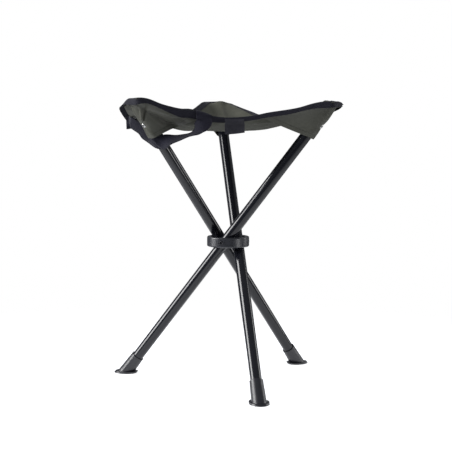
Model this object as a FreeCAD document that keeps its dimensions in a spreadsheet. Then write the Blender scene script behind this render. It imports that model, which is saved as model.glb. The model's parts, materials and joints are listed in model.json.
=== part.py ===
import FreeCAD, Part
import math
import os
import Sketcher
from FreeCAD import Placement, Rotation, Vector

# Folding tripod stool: three crossed tube legs riveted in a hub ring, with a cloth seat
# hung from the three leg tops. Lengths are in millimetres and angles in degrees. The
# origin is on the floor under the middle of the hub ring, and +Z is up. Legs, pockets and
# rivets are numbered by leg: leg 1 stands at the left and carries the right seat corner,
# leg 2 stands in front and carries the rear corner, leg 3 stands at the right rear and
# carries the left corner.

X_AXIS = Vector(1, 0, 0)
Y_AXIS = Vector(0, 1, 0)
Z_AXIS = Vector(0, 0, 1)
LEGS = 3

doc = FreeCAD.newDocument("tripod_stool")


# Driving dimensions

SIZES = (
    ("first_leg_azimuth", -109.34),
    ("hub_centre_height", 241.6),
    ("leg_tilt", 37.75),
    ("pivot_offset", 16.93),
    ("tube_diameter", 19.0),
    ("tube_wall", 1.2),
    ("upper_reach", 293.0),
    ("tube_end_height", 13.0),
    ("plug_head", 3.0),
    ("plug_edge", 1.5),
    ("plug_stem", 14.0),
    ("fit_gap", 0.1),
    ("running_gap", 0.06),
    ("ring_height", 17.5),
    ("ring_wall", 7.2),
    ("ring_edge_round", 2.2),
    ("ring_bore_round", 1.0),
    ("recess_depth", 0.8),
    ("recess_height", 8.5),
    ("recess_start", 9.0),
    ("recess_sweep", 22.0),
    ("rivet_diameter", 6.0),
    ("rivet_bore", 3.2),
    ("rivet_rolled_head", 7.4),
    ("rivet_flat_head", 9.0),
    ("rivet_head_height", 1.2),
    ("rivet_seat_diameter", 9.2),
    ("rivet_seat_depth", 0.8),
    ("side_gap", 0.2),
    ("washer_diameter", 12.0),
    ("washer_thickness", 1.85),
    ("foot_sleeve_length", 40.0),
    ("foot_top_diameter", 22.4),
    ("foot_low_diameter", 25.0),
    ("foot_flange_diameter", 33.0),
    ("foot_flange_height", 3.0),
    ("cloth_thickness", 1.2),
    ("soft_gap", 0.3),
    ("corner_overhang", 16.0),
    ("corner_width", 48.0),
    ("crest_clearance", 1.8),
    ("tip_drop", 3.0),
    ("tip_droop", 3.0),
    ("edge_sag", 25.0),
    ("edge_reach", 100.0),
    ("belly_sag", 50.0),
    ("fold_depth", 3.0),
    ("binding_width", 11.5),
    ("binding_thickness", 2.0),
    ("pocket_depth", 58.0),
    ("corner_rivet_inset", 33.0),
    ("corner_rivet_head", 8.0),
    ("corner_rivet_crown", 1.8),
    ("corner_rivet_shank", 4.0),
    ("corner_rivet_bulb", 6.0),
    ("corner_rivet_bulb_length", 3.0),
    ("strap_width", 25.0),
    ("strap_thickness", 1.6),
    ("strap_crossing_inset", 73.0),
    ("strap_sewn_inset", 20.0),
    ("strap_front_place", 50.0),
    ("strap_swing", 4.2),
    ("strap_sewn_overlap", 4.0),
    ("strap_tuck", 9.0),
    ("strap_bulge", 12.7),
    ("strap_bulge_drop", 6.0),
    ("strap_billow", 4.0),
    ("strap_sag", 5.0),
    ("label_width", 34.0),
    ("label_height", 19.5),
    ("label_thickness", 0.8),
    ("label_overlap", 4.5),
    ("label_shift", 4.5),
)

sheet = doc.addObject("Spreadsheet::Sheet", "Sizes")
for row, (alias, value) in enumerate(SIZES, start=1):
    sheet.set("A%d" % row, alias)
    sheet.set("B%d" % row, str(value))
    sheet.setAlias("B%d" % row, alias)
doc.recompute()


def size(name):
    return float(getattr(sheet, name))


def cosine(degrees):
    return math.cos(math.radians(degrees))


def sine(degrees):
    return math.sin(math.radians(degrees))


# Places that several pieces share

TUBE_RADIUS = size("tube_diameter") / 2
CAP_REACH = size("upper_reach") + size("plug_head")
CORNER_RIVET_REACH = size("upper_reach") - size("corner_rivet_inset")
WASHER_START = size("pivot_offset") + TUBE_RADIUS + size("side_gap")
WASHER_SEAT = WASHER_START + size("washer_thickness") + size("fit_gap")
RING_BORE_RADIUS = math.hypot(WASHER_SEAT, size("washer_diameter") / 2)
RING_RADIUS = RING_BORE_RADIUS + size("ring_wall")
STEP_ANGLE = 360.0 / LEGS

# The same places as expressions for sketches and features

WASHER_START_TEXT = "(Sizes.pivot_offset + Sizes.tube_diameter / 2 + Sizes.side_gap)"
WASHER_SEAT_TEXT = "(" + WASHER_START_TEXT + " + Sizes.washer_thickness + Sizes.fit_gap)"
RING_BORE_TEXT = "sqrt(" + WASHER_SEAT_TEXT + " ^ 2 + (Sizes.washer_diameter / 2) ^ 2)"
RING_OUTSIDE_TEXT = "(" + RING_BORE_TEXT + " + Sizes.ring_wall)"
CORNER_RIVET_TEXT = "Sizes.upper_reach - Sizes.corner_rivet_inset"


def leg_azimuth(leg):
    return size("first_leg_azimuth") + STEP_ANGLE * leg


def leg_placement(leg):
    """Leg frame: origin at the pivot, X along the pivot pin outwards, Y to the outer
    lower side of the tube, Z up along the tube."""
    turn = Rotation(Z_AXIS, leg_azimuth(leg))
    base = turn.multVec(Vector(size("pivot_offset"), 0, size("hub_centre_height")))
    return Placement(base, turn * Rotation(X_AXIS, -size("leg_tilt")))


def pin_placement(leg):
    """Pin frame: origin on the hub axis at the pivots' height, Z along the pin outwards."""
    turn = Rotation(Z_AXIS, leg_azimuth(leg)) * Rotation(Y_AXIS, 90)
    return Placement(Vector(0, 0, size("hub_centre_height")), turn)


# Helpers for parametric bodies

def new_body(name):
    body = doc.addObject("PartDesign::Body", name)
    body.Label = name
    return body


def origin_feature(body, role):
    for feature in body.Origin.OriginFeatures:
        if feature.Role == role:
            return feature
    raise ValueError(role)


def new_sketch(body, name, role):
    sketch = body.newObject("Sketcher::SketchObject", name)
    sketch.AttachmentSupport = [(origin_feature(body, role), "")]
    sketch.MapMode = "FlatFace"
    return sketch


def add_circle(sketch, expression, up=None):
    """A circle with its radius bound to the sheet, and its centre on the sketch's origin
    or as far above it as the expression given."""
    centre = Vector(0, 10, 0) if up else Vector(0, 0, 0)
    circle = sketch.addGeometry(Part.Circle(centre, Z_AXIS, 5), False)
    radius = sketch.addConstraint(Sketcher.Constraint("Radius", circle, 5))
    sketch.setExpression("Constraints[%d]" % radius, expression)
    if up:
        sketch.addConstraint(Sketcher.Constraint("PointOnObject", circle, 3, -2))
        height = sketch.addConstraint(Sketcher.Constraint("DistanceY", -1, 1, circle, 3, 10))
        sketch.setExpression("Constraints[%d]" % height, up)
    else:
        sketch.addConstraint(Sketcher.Constraint("Coincident", circle, 3, -1, 1))


def add_outline(sketch, corners):
    """A closed outline whose corners are pairs of sheet expressions, or "0" on an axis."""
    rough = [Vector(1 + index, 1 + index * index, 0) for index in range(len(corners))]
    lines = []
    for index, start in enumerate(rough):
        end = rough[(index + 1) % len(rough)]
        lines.append(sketch.addGeometry(Part.LineSegment(start, end), False))
    for index, line in enumerate(lines):
        following = lines[(index + 1) % len(lines)]
        sketch.addConstraint(Sketcher.Constraint("Coincident", line, 2, following, 1))
    for line, (across, up) in zip(lines, corners):
        if across == "0":
            sketch.addConstraint(Sketcher.Constraint("PointOnObject", line, 1, -2))
        else:
            place = sketch.addConstraint(Sketcher.Constraint("DistanceX", -1, 1, line, 1, 1))
            sketch.setExpression("Constraints[%d]" % place, across)
        if up == "0":
            sketch.addConstraint(Sketcher.Constraint("PointOnObject", line, 1, -1))
        else:
            place = sketch.addConstraint(Sketcher.Constraint("DistanceY", -1, 1, line, 1, 1))
            sketch.setExpression("Constraints[%d]" % place, up)


def revolve(body, sketch):
    turned = body.newObject("PartDesign::Revolution", sketch.Name + "_turned")
    turned.Profile = sketch
    turned.ReferenceAxis = (sketch, ["V_Axis"])
    turned.Angle = 360
    return turned


def circular_edges(shape, test):
    """Names of the shape's circular edges for which test(circle) is true."""
    names = []
    for number, edge in enumerate(shape.Edges, start=1):
        if isinstance(edge.Curve, Part.Circle) and test(edge.Curve):
            names.append("Edge%d" % number)
    return names


def cuts_material(feature, before):
    """Stop when a pocket or groove has removed nothing."""
    if feature.Shape.Volume > before - 1e-3:
        raise ValueError(feature.Name + " cuts nothing")


# Hub ring: moulded plastic ring with three seats for the pivot rivets

def make_hub_ring():
    body = new_body("hub_ring")
    profile = new_sketch(body, "ring_profile", "XZ_Plane")
    half = "Sizes.ring_height / 2"
    inner = RING_BORE_TEXT
    outer = RING_OUTSIDE_TEXT
    add_outline(profile, [(inner, "-" + half), (outer, "-" + half), (outer, half), (inner, half)])
    ring = revolve(body, profile)
    doc.recompute()

    rounds = body.newObject("PartDesign::Fillet", "ring_outer_rounds")
    outside = circular_edges(ring.Shape, lambda circle: circle.Radius > RING_RADIUS - 0.01)
    rounds.Base = (ring, outside)
    rounds.setExpression("Radius", "Sizes.ring_edge_round")
    doc.recompute()
    bore_rounds = body.newObject("PartDesign::Fillet", "ring_bore_rounds")
    inside = circular_edges(
        rounds.Shape, lambda circle: abs(circle.Radius - RING_BORE_RADIUS) < 0.01
    )
    bore_rounds.Base = (rounds, inside)
    bore_rounds.setExpression("Radius", "Sizes.ring_bore_round")
    doc.recompute()

    hole_sketch = new_sketch(body, "rivet_hole_sketch", "YZ_Plane")
    add_circle(hole_sketch, "Sizes.rivet_diameter / 2 + Sizes.running_gap")
    hole = body.newObject("PartDesign::Pocket", "rivet_hole")
    hole.Profile = hole_sketch
    hole.Reversed = True
    hole.setExpression("Length", RING_OUTSIDE_TEXT + " * 2")
    doc.recompute()
    cuts_material(hole, bore_rounds.Shape.Volume)

    seat_sketch = new_sketch(body, "rivet_seat_sketch", "YZ_Plane")
    seat_sketch.setExpression(
        "AttachmentOffset.Base.z", RING_OUTSIDE_TEXT + " - Sizes.rivet_seat_depth"
    )
    add_circle(seat_sketch, "Sizes.rivet_seat_diameter / 2")
    seat = body.newObject("PartDesign::Pocket", "rivet_seat")
    seat.Profile = seat_sketch
    seat.Reversed = True
    seat.setExpression("Length", "Sizes.ring_wall")
    doc.recompute()
    cuts_material(seat, hole.Shape.Volume)

    recess_sketch = new_sketch(body, "recess_sketch", "XZ_Plane")
    recess_sketch.AttachmentOffset = Placement(Vector(0, 0, 0), Rotation(Y_AXIS, 1))
    recess_sketch.setExpression("AttachmentOffset.Rotation.Angle", "Sizes.recess_start")
    depth = RING_OUTSIDE_TEXT + " - Sizes.recess_depth"
    beyond = RING_OUTSIDE_TEXT + " + Sizes.recess_depth"
    top = "Sizes.recess_height / 2"
    add_outline(recess_sketch, [(depth, "-" + top), (beyond, "-" + top), (beyond, top), (depth, top)])
    recess = body.newObject("PartDesign::Groove", "recess")
    recess.Profile = recess_sketch
    recess.ReferenceAxis = (recess_sketch, ["V_Axis"])
    recess.setExpression("Angle", "Sizes.recess_sweep")
    doc.recompute()
    cuts_material(recess, seat.Shape.Volume)

    pattern = body.newObject("PartDesign::PolarPattern", "three_pivots")
    pattern.Originals = [hole, seat, recess]
    pattern.Axis = (origin_feature(body, "Z_Axis"), [""])
    pattern.Angle = 360
    pattern.Occurrences = LEGS
    body.Tip = pattern
    body.Placement = Placement(
        Vector(0, 0, size("hub_centre_height")), Rotation(Z_AXIS, leg_azimuth(0))
    )
    return body


# Pivot rivet: tubular, its flat head inside and its rolled end in the ring's seat

ROLLED_SHARE = 0.6  # of the head's height, rounded off


def make_pivot_rivet(leg):
    body = new_body("pivot_rivet_%d" % (leg + 1))
    sketch = new_sketch(body, "rivet_section_%d" % leg, "XZ_Plane")
    bore = "Sizes.rivet_bore / 2"
    shank = "Sizes.rivet_diameter / 2"
    flat = "Sizes.rivet_flat_head / 2"
    rolled = "Sizes.rivet_rolled_head / 2"
    tube_side = "Sizes.pivot_offset - Sizes.tube_diameter / 2 - Sizes.side_gap"
    inner_end = tube_side + " - Sizes.rivet_head_height"
    seat = RING_OUTSIDE_TEXT + " - Sizes.rivet_seat_depth"
    outer_end = seat + " + Sizes.rivet_head_height"
    add_outline(
        sketch,
        [
            (bore, inner_end),
            (flat, inner_end),
            (flat, tube_side),
            (shank, tube_side),
            (shank, seat),
            (rolled, seat),
            (rolled, outer_end),
            (bore, outer_end),
        ],
    )
    turned = revolve(body, sketch)
    doc.recompute()
    end = RING_RADIUS - size("rivet_seat_depth") + size("rivet_head_height")
    rim = circular_edges(
        turned.Shape,
        lambda circle: abs(circle.Center.z - end) < 0.01
        and circle.Radius > size("rivet_diameter") / 2,
    )
    roll = body.newObject("PartDesign::Fillet", "rolled_edge_%d" % leg)
    roll.Base = (turned, rim)
    roll.setExpression("Radius", "Sizes.rivet_head_height * %g" % ROLLED_SHARE)
    body.Placement = pin_placement(leg)
    return body


# Pivot washer: spaces the tube from the ring's wall

def make_pivot_washer(leg):
    body = new_body("pivot_washer_%d" % (leg + 1))
    sketch = new_sketch(body, "washer_outline_%d" % leg, "XY_Plane")
    sketch.setExpression("AttachmentOffset.Base.z", WASHER_START_TEXT)
    add_circle(sketch, "Sizes.washer_diameter / 2")
    add_circle(sketch, "Sizes.rivet_diameter / 2 + Sizes.running_gap")
    pad = body.newObject("PartDesign::Pad", "washer_pad_%d" % leg)
    pad.Profile = sketch
    pad.setExpression("Length", "Sizes.washer_thickness")
    body.Placement = pin_placement(leg)
    return body


# Leg tube: straight steel tube with the pivot holes and one corner rivet hole

def make_leg_tube(leg):
    body = new_body("leg_tube_%d" % (leg + 1))
    section = new_sketch(body, "tube_section_%d" % leg, "XY_Plane")
    below = "Sizes.hub_centre_height / cos(Sizes.leg_tilt * 1 deg) - Sizes.tube_end_height"
    section.setExpression("AttachmentOffset.Base.z", "-(" + below + ")")
    add_circle(section, "Sizes.tube_diameter / 2")
    add_circle(section, "Sizes.tube_diameter / 2 - Sizes.tube_wall")
    tube = body.newObject("PartDesign::Pad", "tube_pad_%d" % leg)
    tube.Profile = section
    tube.setExpression("Length", "Sizes.upper_reach + " + below)
    doc.recompute()

    pivot_sketch = new_sketch(body, "pivot_hole_sketch_%d" % leg, "YZ_Plane")
    add_circle(pivot_sketch, "Sizes.rivet_diameter / 2 + Sizes.running_gap")
    pivot_hole = body.newObject("PartDesign::Pocket", "pivot_hole_%d" % leg)
    pivot_hole.Profile = pivot_sketch
    pivot_hole.Midplane = True
    pivot_hole.setExpression("Length", "Sizes.tube_diameter * 2")
    doc.recompute()
    cuts_material(pivot_hole, tube.Shape.Volume)

    corner_sketch = new_sketch(body, "corner_hole_sketch_%d" % leg, "XZ_Plane")
    add_circle(
        corner_sketch,
        "Sizes.corner_rivet_shank / 2 + Sizes.fit_gap",
        up=CORNER_RIVET_TEXT,
    )
    corner_hole = body.newObject("PartDesign::Pocket", "corner_hole_%d" % leg)
    corner_hole.Profile = corner_sketch
    corner_hole.setExpression("Length", "Sizes.tube_diameter")
    doc.recompute()
    cuts_material(corner_hole, pivot_hole.Shape.Volume)
    body.Placement = leg_placement(leg)
    return body


# Top plug: plastic end cap in the tube's upper end, under the cloth

def make_top_plug(leg):
    body = new_body("top_plug_%d" % (leg + 1))
    sketch = new_sketch(body, "plug_section_%d" % leg, "XZ_Plane")
    stem = "Sizes.tube_diameter / 2 - Sizes.tube_wall - Sizes.fit_gap"
    head = "Sizes.tube_diameter / 2"
    bottom = "Sizes.upper_reach - Sizes.plug_stem"
    top = "Sizes.upper_reach + Sizes.plug_head"
    add_outline(
        sketch,
        [
            ("0", bottom),
            (stem, bottom),
            (stem, "Sizes.upper_reach"),
            (head, "Sizes.upper_reach"),
            (head, top),
            ("0", top),
        ],
    )
    turned = revolve(body, sketch)
    doc.recompute()
    rim = circular_edges(turned.Shape, lambda circle: circle.Center.z > CAP_REACH - 0.01)
    rounded = body.newObject("PartDesign::Fillet", "plug_round_%d" % leg)
    rounded.Base = (turned, rim)
    rounded.setExpression("Radius", "Sizes.plug_edge")
    body.Placement = leg_placement(leg)
    return body


# Corner rivet: blind rivet through the pocket cloth and the tube's outer wall

DOME_SHARE = 0.8  # of the crown's height, rounded off


def make_corner_rivet(leg):
    body = new_body("corner_rivet_%d" % (leg + 1))
    sketch = new_sketch(body, "corner_rivet_section_%d" % leg, "XZ_Plane")
    shank = "Sizes.corner_rivet_shank / 2"
    bulb = "Sizes.corner_rivet_bulb / 2"
    head = "Sizes.corner_rivet_head / 2"
    bore = "(Sizes.tube_diameter / 2 - Sizes.tube_wall)"
    bulb_top = "sqrt(" + bore + " ^ 2 - (" + bulb + ") ^ 2) - Sizes.fit_gap"
    bulb_end = bulb_top + " - Sizes.corner_rivet_bulb_length"
    cloth_top = "Sizes.tube_diameter / 2 + Sizes.soft_gap + Sizes.cloth_thickness + Sizes.fit_gap"
    crown = cloth_top + " + Sizes.corner_rivet_crown"
    add_outline(
        sketch,
        [
            ("0", bulb_end),
            (bulb, bulb_end),
            (bulb, bulb_top),
            (shank, bulb_top),
            (shank, cloth_top),
            (head, cloth_top),
            (head, crown),
            ("0", crown),
        ],
    )
    turned = revolve(body, sketch)
    doc.recompute()
    tube_to_crown = size("soft_gap") + size("cloth_thickness") + size("fit_gap")
    crown_height = TUBE_RADIUS + tube_to_crown + size("corner_rivet_crown")
    rim = circular_edges(turned.Shape, lambda circle: circle.Center.z > crown_height - 0.01)
    dome = body.newObject("PartDesign::Fillet", "corner_rivet_dome_%d" % leg)
    dome.Base = (turned, rim)
    dome.setExpression("Radius", "Sizes.corner_rivet_crown * %g" % DOME_SHARE)
    through = Placement(Vector(0, 0, CORNER_RIVET_REACH), Rotation(X_AXIS, -90))
    body.Placement = leg_placement(leg).multiply(through)
    return body


# Rubber foot: tapered sleeve on the tube's lower end with a lip cut level with the floor

def make_rubber_foot(leg):
    name = "rubber_foot_%d" % (leg + 1)
    floor_level = "-Sizes.hub_centre_height / cos(Sizes.leg_tilt * 1 deg)"
    spare = "Sizes.foot_flange_diameter"
    taper = "(Sizes.foot_low_diameter - Sizes.foot_top_diameter) / 2 / Sizes.foot_sleeve_length"

    sleeve = doc.addObject("Part::Cone", "foot_sleeve_%d" % leg)
    sleeve.setExpression("Radius1", "Sizes.foot_low_diameter / 2 + " + taper + " * " + spare)
    sleeve.setExpression("Radius2", "Sizes.foot_top_diameter / 2")
    sleeve.setExpression("Height", "Sizes.foot_sleeve_length + " + spare)
    sleeve.setExpression("Placement.Base.z", floor_level + " - " + spare)

    above_floor = doc.addObject("Part::Box", "foot_above_floor_%d" % leg)
    flange_slab = doc.addObject("Part::Box", "foot_flange_slab_%d" % leg)
    for box in (above_floor, flange_slab):
        box.setExpression("Length", spare + " * 4")
        box.setExpression("Width", spare + " * 4")
        box.Placement = Placement(Vector(0, 0, 0), Rotation(X_AXIS, 1))
        box.setExpression("Placement.Rotation.Angle", "Sizes.leg_tilt")
        box.setExpression("Placement.Base.x", "-" + spare + " * 2")
        box.setExpression("Placement.Base.y", "-" + spare + " * 2 * cos(Sizes.leg_tilt * 1 deg)")
        box.setExpression(
            "Placement.Base.z",
            floor_level + " - " + spare + " * 2 * sin(Sizes.leg_tilt * 1 deg)",
        )
    above_floor.setExpression("Height", "Sizes.foot_sleeve_length * 2")
    flange_slab.setExpression("Height", "Sizes.foot_flange_height")

    disc = doc.addObject("Part::Cylinder", "foot_disc_%d" % leg)
    disc.setExpression("Radius", "Sizes.foot_flange_diameter / 2")
    disc.setExpression("Height", spare + " * 2")
    disc.setExpression("Placement.Base.z", floor_level + " - " + spare)

    standing = doc.addObject("Part::Common", "foot_standing_%d" % leg)
    standing.Base = sleeve
    standing.Tool = above_floor
    flange = doc.addObject("Part::Common", "foot_flange_%d" % leg)
    flange.Base = disc
    flange.Tool = flange_slab
    outside = doc.addObject("Part::Fuse", "foot_outside_%d" % leg)
    outside.Base = standing
    outside.Tool = flange

    bore = doc.addObject("Part::Cylinder", "foot_bore_%d" % leg)
    bore.setExpression("Radius", "Sizes.tube_diameter / 2 + Sizes.fit_gap")
    bore.setExpression("Height", "Sizes.foot_sleeve_length * 2")
    bore.setExpression("Placement.Base.z", floor_level + " + Sizes.tube_end_height")

    foot = doc.addObject("Part::Cut", name)
    foot.Base = outside
    foot.Tool = bore
    foot.Label = name
    foot.Placement = leg_placement(leg)
    return foot


# Seat shape: three corners over the leg tops, dished in the middle, edges bowed inwards

CORNER_TURN = math.degrees(math.atan2(size("pivot_offset"), CAP_REACH * sine(size("leg_tilt"))))
CAP_CENTRE = leg_placement(0).multVec(Vector(0, 0, CAP_REACH))
CAP_RADIAL = math.hypot(CAP_CENTRE.x, CAP_CENTRE.y)
CREST_RADIAL = CAP_RADIAL - TUBE_RADIUS * cosine(size("leg_tilt"))
CREST_HEIGHT = (
    CAP_CENTRE.z
    + TUBE_RADIUS * sine(size("leg_tilt"))
    + size("crest_clearance")
    + size("cloth_thickness")
)
TIP_RADIAL = CAP_RADIAL + size("corner_overhang")
TIP_HEIGHT = CREST_HEIGHT - size("tip_drop")
RIM_TIP_HEIGHT = TIP_HEIGHT - size("tip_droop")
RIM_MID_HEIGHT = RIM_TIP_HEIGHT - size("edge_sag")
CENTRE_HEIGHT = CREST_HEIGHT - size("belly_sag")
HALF_STEP = STEP_ANGLE / 2
HALF_CORNER = size("corner_width") / 2
RIM_LENGTH = TIP_RADIAL * sine(HALF_STEP) - HALF_CORNER * cosine(HALF_STEP)
RIM_BOW = TIP_RADIAL * cosine(HALF_STEP) + HALF_CORNER * sine(HALF_STEP) - size("edge_reach")
DROP = Vector(0, 0, -size("cloth_thickness"))
RUN_STEP = 1.0
SAG_POWER = 1.5  # over 1, so that the cloth dips slowly in the middle and steeply outside


def corner_frame(leg):
    """Frame with its origin on the floor and X towards the seat corner over this leg."""
    turn = leg_azimuth(leg) + 90 - CORNER_TURN
    return Placement(Vector(0, 0, 0), Rotation(Z_AXIS, turn))


def rim_outward(side):
    """Direction square to the straight line between two corners, in the corner frame."""
    return Vector(cosine(HALF_STEP), side * sine(HALF_STEP), 0)


def rim_forward(side):
    """Direction along that line towards the corner."""
    return Vector(sine(HALF_STEP), -side * cosine(HALF_STEP), 0)


def rim_point(place, side):
    """Top of the seat's edge, place millimetres from the edge's middle to the corner."""
    share = place / RIM_LENGTH
    reach = size("edge_reach") + RIM_BOW * share**2
    height = RIM_MID_HEIGHT + (RIM_TIP_HEIGHT - RIM_MID_HEIGHT) * abs(share) ** SAG_POWER
    return rim_outward(side) * reach + rim_forward(side) * place + Vector(0, 0, height)


def rim_run(place, side):
    """Direction of the edge at a place, towards the corner."""
    near = rim_point(place - RUN_STEP, side)
    return (rim_point(place + RUN_STEP, side) - near).normalize()


def rim_square(place, side):
    """Level direction outwards, square to the edge at a place."""
    run = rim_run(place, side)
    return Vector(-run.y * side, run.x * side, 0).normalize()


def crest_point(radial):
    """Top of the cloth on the line from the seat's middle to the corner."""
    if radial > CREST_RADIAL:
        past = (radial - CREST_RADIAL) / (TIP_RADIAL - CREST_RADIAL)
        return Vector(radial, 0, CREST_HEIGHT - size("tip_drop") * past)
    share = (radial / CREST_RADIAL) ** SAG_POWER
    return Vector(radial, 0, CENTRE_HEIGHT + (CREST_HEIGHT - CENTRE_HEIGHT) * share)


def ruled(first, second):
    return Part.makeRuledSurface(first, second)


def solid_of(faces):
    """A closed solid sewn from faces that meet edge to edge."""
    sewn = Part.makeCompound(faces)
    sewn.sewShape()
    solid = Part.makeSolid(sewn.Shells[0])
    if solid.Volume < 0:
        solid.reverse()
    return solid


def skin(sections, closed=False):
    """A solid over sections of as many corners each, joined corner to corner."""
    faces = []
    pairs = list(zip(sections, sections[1:]))
    if closed:
        pairs.append((sections[-1], sections[0]))
    count = len(sections[0])
    for near, far in pairs:
        for index in range(count):
            after = (index + 1) % count
            first = Part.makeLine(near[index], near[after])
            second = Part.makeLine(far[index], far[after])
            faces.append(ruled(first, second))
    if not closed:
        for end in (sections[0], sections[-1]):
            faces.append(Part.Face(Part.makePolygon(end + end[:1])))
    return solid_of(faces)


# Seat panel: one dished triangle of coated cloth, folded over each leg top

SEAT_STEPS = 6
VALLEY_EASE = 0.8


def seat_arc(leg, side, step):
    """One line across half a corner, from the seat's edge to the crest, as an arc that
    sags between them."""
    if step == SEAT_STEPS:
        rim = rim_point(RIM_LENGTH, side)
        crest = crest_point(TIP_RADIAL)
    else:
        share = step / (SEAT_STEPS - 1)
        abeam = RIM_LENGTH - (TIP_RADIAL - CREST_RADIAL) / sine(HALF_STEP)
        rim = rim_point(abeam * share, side)
        crest = crest_point(CREST_RADIAL * share)
    valley = size("fold_depth") * (1 - VALLEY_EASE * step / SEAT_STEPS)
    middle = (rim + crest) * 0.5 - Vector(0, 0, valley)
    frame = corner_frame(leg)
    points = [frame.multVec(point) for point in (rim, middle, crest)]
    return Part.Arc(*points).toShape()


def make_seat_panel():
    top = []
    walls = []
    for leg in range(LEGS):
        for side in (-1, 1):
            arcs = [seat_arc(leg, side, step) for step in range(SEAT_STEPS + 1)]
            for near, far in zip(arcs, arcs[1:]):
                top.append(ruled(near, far))
                rim = Part.makeLine(near.Vertexes[0].Point, far.Vertexes[0].Point)
                walls.append(rim.extrude(DROP))
            walls.append(arcs[-1].extrude(DROP))
    under = [face.translated(DROP) for face in top]
    panel = doc.addObject("Part::Feature", "seat_panel")
    panel.Label = "seat_panel"
    panel.Shape = solid_of(top + under + walls)
    return panel


# Edge binding: tape sewn round the whole rim of the seat, hanging as a narrow band

BINDING_RISE = 0.6  # how far the band stands above the cloth
RIM_SHARES = (0.0, 0.2, 0.4, 0.6, 0.8, 1.0)


def rim_path():
    """The rim's corners in order round the seat, seen from above."""
    points = []
    for leg in range(LEGS):
        frame = corner_frame(leg)
        for share in RIM_SHARES[:-1]:
            points.append(frame.multVec(rim_point(RIM_LENGTH * share, -1)))
        points.append(frame.multVec(rim_point(RIM_LENGTH, -1)))
        points.append(frame.multVec(crest_point(TIP_RADIAL)))
        points.append(frame.multVec(rim_point(RIM_LENGTH, 1)))
        for share in reversed(RIM_SHARES[1:-1]):
            points.append(frame.multVec(rim_point(RIM_LENGTH * share, 1)))
    return points


def level(vector):
    flat = Vector(vector.x, vector.y, 0)
    return flat.normalize()


def mitre(before, here, after):
    """Outward direction at a corner of the path, lengthened so that a band keeps its
    thickness round the corner."""
    first = level(here - before)
    second = level(after - here)
    normal = Vector(first.y + second.y, -first.x - second.x, 0).normalize()
    return normal / normal.dot(Vector(first.y, -first.x, 0))


def make_edge_binding():
    path = rim_path()
    near = size("soft_gap")
    far = near + size("binding_thickness")
    top = Vector(0, 0, BINDING_RISE)
    bottom = Vector(0, 0, BINDING_RISE - size("binding_width"))
    sections = []
    for index, here in enumerate(path):
        out = mitre(path[index - 1], here, path[(index + 1) % len(path)])
        sections.append(
            [
                here + out * near + top,
                here + out * far + top,
                here + out * far + bottom,
                here + out * near + bottom,
            ]
        )
    binding = doc.addObject("Part::Feature", "edge_binding")
    binding.Label = "edge_binding"
    binding.Shape = skin(sections, closed=True)
    return binding


# Corner pocket: cloth under each corner, wrapped round the tube's outer side

POCKET_STEPS = 5
POCKET_INSET = 1.2  # how far inside the seat's edge the pocket's sides end
POCKET_OVERREACH = 1.0  # how far past the plug the last section round the tube lies
POCKET_TOP_MARGIN = 2.5
HALVINGS = 40
FLAT_WRAP = 1.5  # least bulge of the wrap past the pocket's sides


def pocket_rim(leg, place, side):
    """Where the pocket meets the seat's edge from below, in the leg frame."""
    below = 2 * size("cloth_thickness") + 2 * size("soft_gap")
    point = rim_point(place, side) - rim_outward(side) * POCKET_INSET - Vector(0, 0, below)
    world = corner_frame(leg).multVec(point)
    return leg_placement(leg).inverse().multVec(world)


def pocket_rim_at(leg, reach, side):
    """The rim point whose distance along the leg is reach, found by halving."""
    low = 0.0
    high = RIM_LENGTH
    for _ in range(HALVINGS):
        middle = (low + high) / 2
        if pocket_rim(leg, middle, side).z < reach:
            low = middle
        else:
            high = middle
    return pocket_rim(leg, low, side)


def pocket_section(leg, reach):
    """Closed outline square to the leg: two straight flanks and the wrap round the tube."""
    right = pocket_rim_at(leg, reach, 1)
    left = pocket_rim_at(leg, reach, -1)
    if right.x < left.x:
        right, left = left, right
    cloth = size("cloth_thickness")
    outer = TUBE_RADIUS + size("soft_gap") + cloth
    outer = max(outer, right.y + FLAT_WRAP, left.y + FLAT_WRAP)
    right_angle = math.atan2(right.y, right.x) + math.acos(outer / math.hypot(right.x, right.y))
    left_turn = math.atan2(left.y, left.x) % (2 * math.pi)
    left_angle = left_turn - math.acos(outer / math.hypot(left.x, left.y))

    def round_point(radius, angle):
        return Vector(radius * math.cos(angle), radius * math.sin(angle), reach)

    def arc(radius):
        middle = (right_angle + left_angle) / 2
        angles = (right_angle, middle, left_angle)
        return Part.Arc(*[round_point(radius, angle) for angle in angles]).toShape()

    right_out = Vector(right.x, right.y, reach)
    left_out = Vector(left.x, left.y, reach)
    right_in = right_out - round_point(cloth, right_angle) + Vector(0, 0, reach)
    left_in = left_out - round_point(cloth, left_angle) + Vector(0, 0, reach)
    inner = outer - cloth
    edges = [
        Part.makeLine(right_out, round_point(outer, right_angle)),
        arc(outer),
        Part.makeLine(round_point(outer, left_angle), left_out),
        Part.makeLine(left_out, left_in),
        Part.makeLine(left_in, round_point(inner, left_angle)),
        arc(inner),
        Part.makeLine(round_point(inner, right_angle), right_in),
        Part.makeLine(right_in, right_out),
    ]
    return Part.Wire(Part.__sortEdges__(edges))


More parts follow.
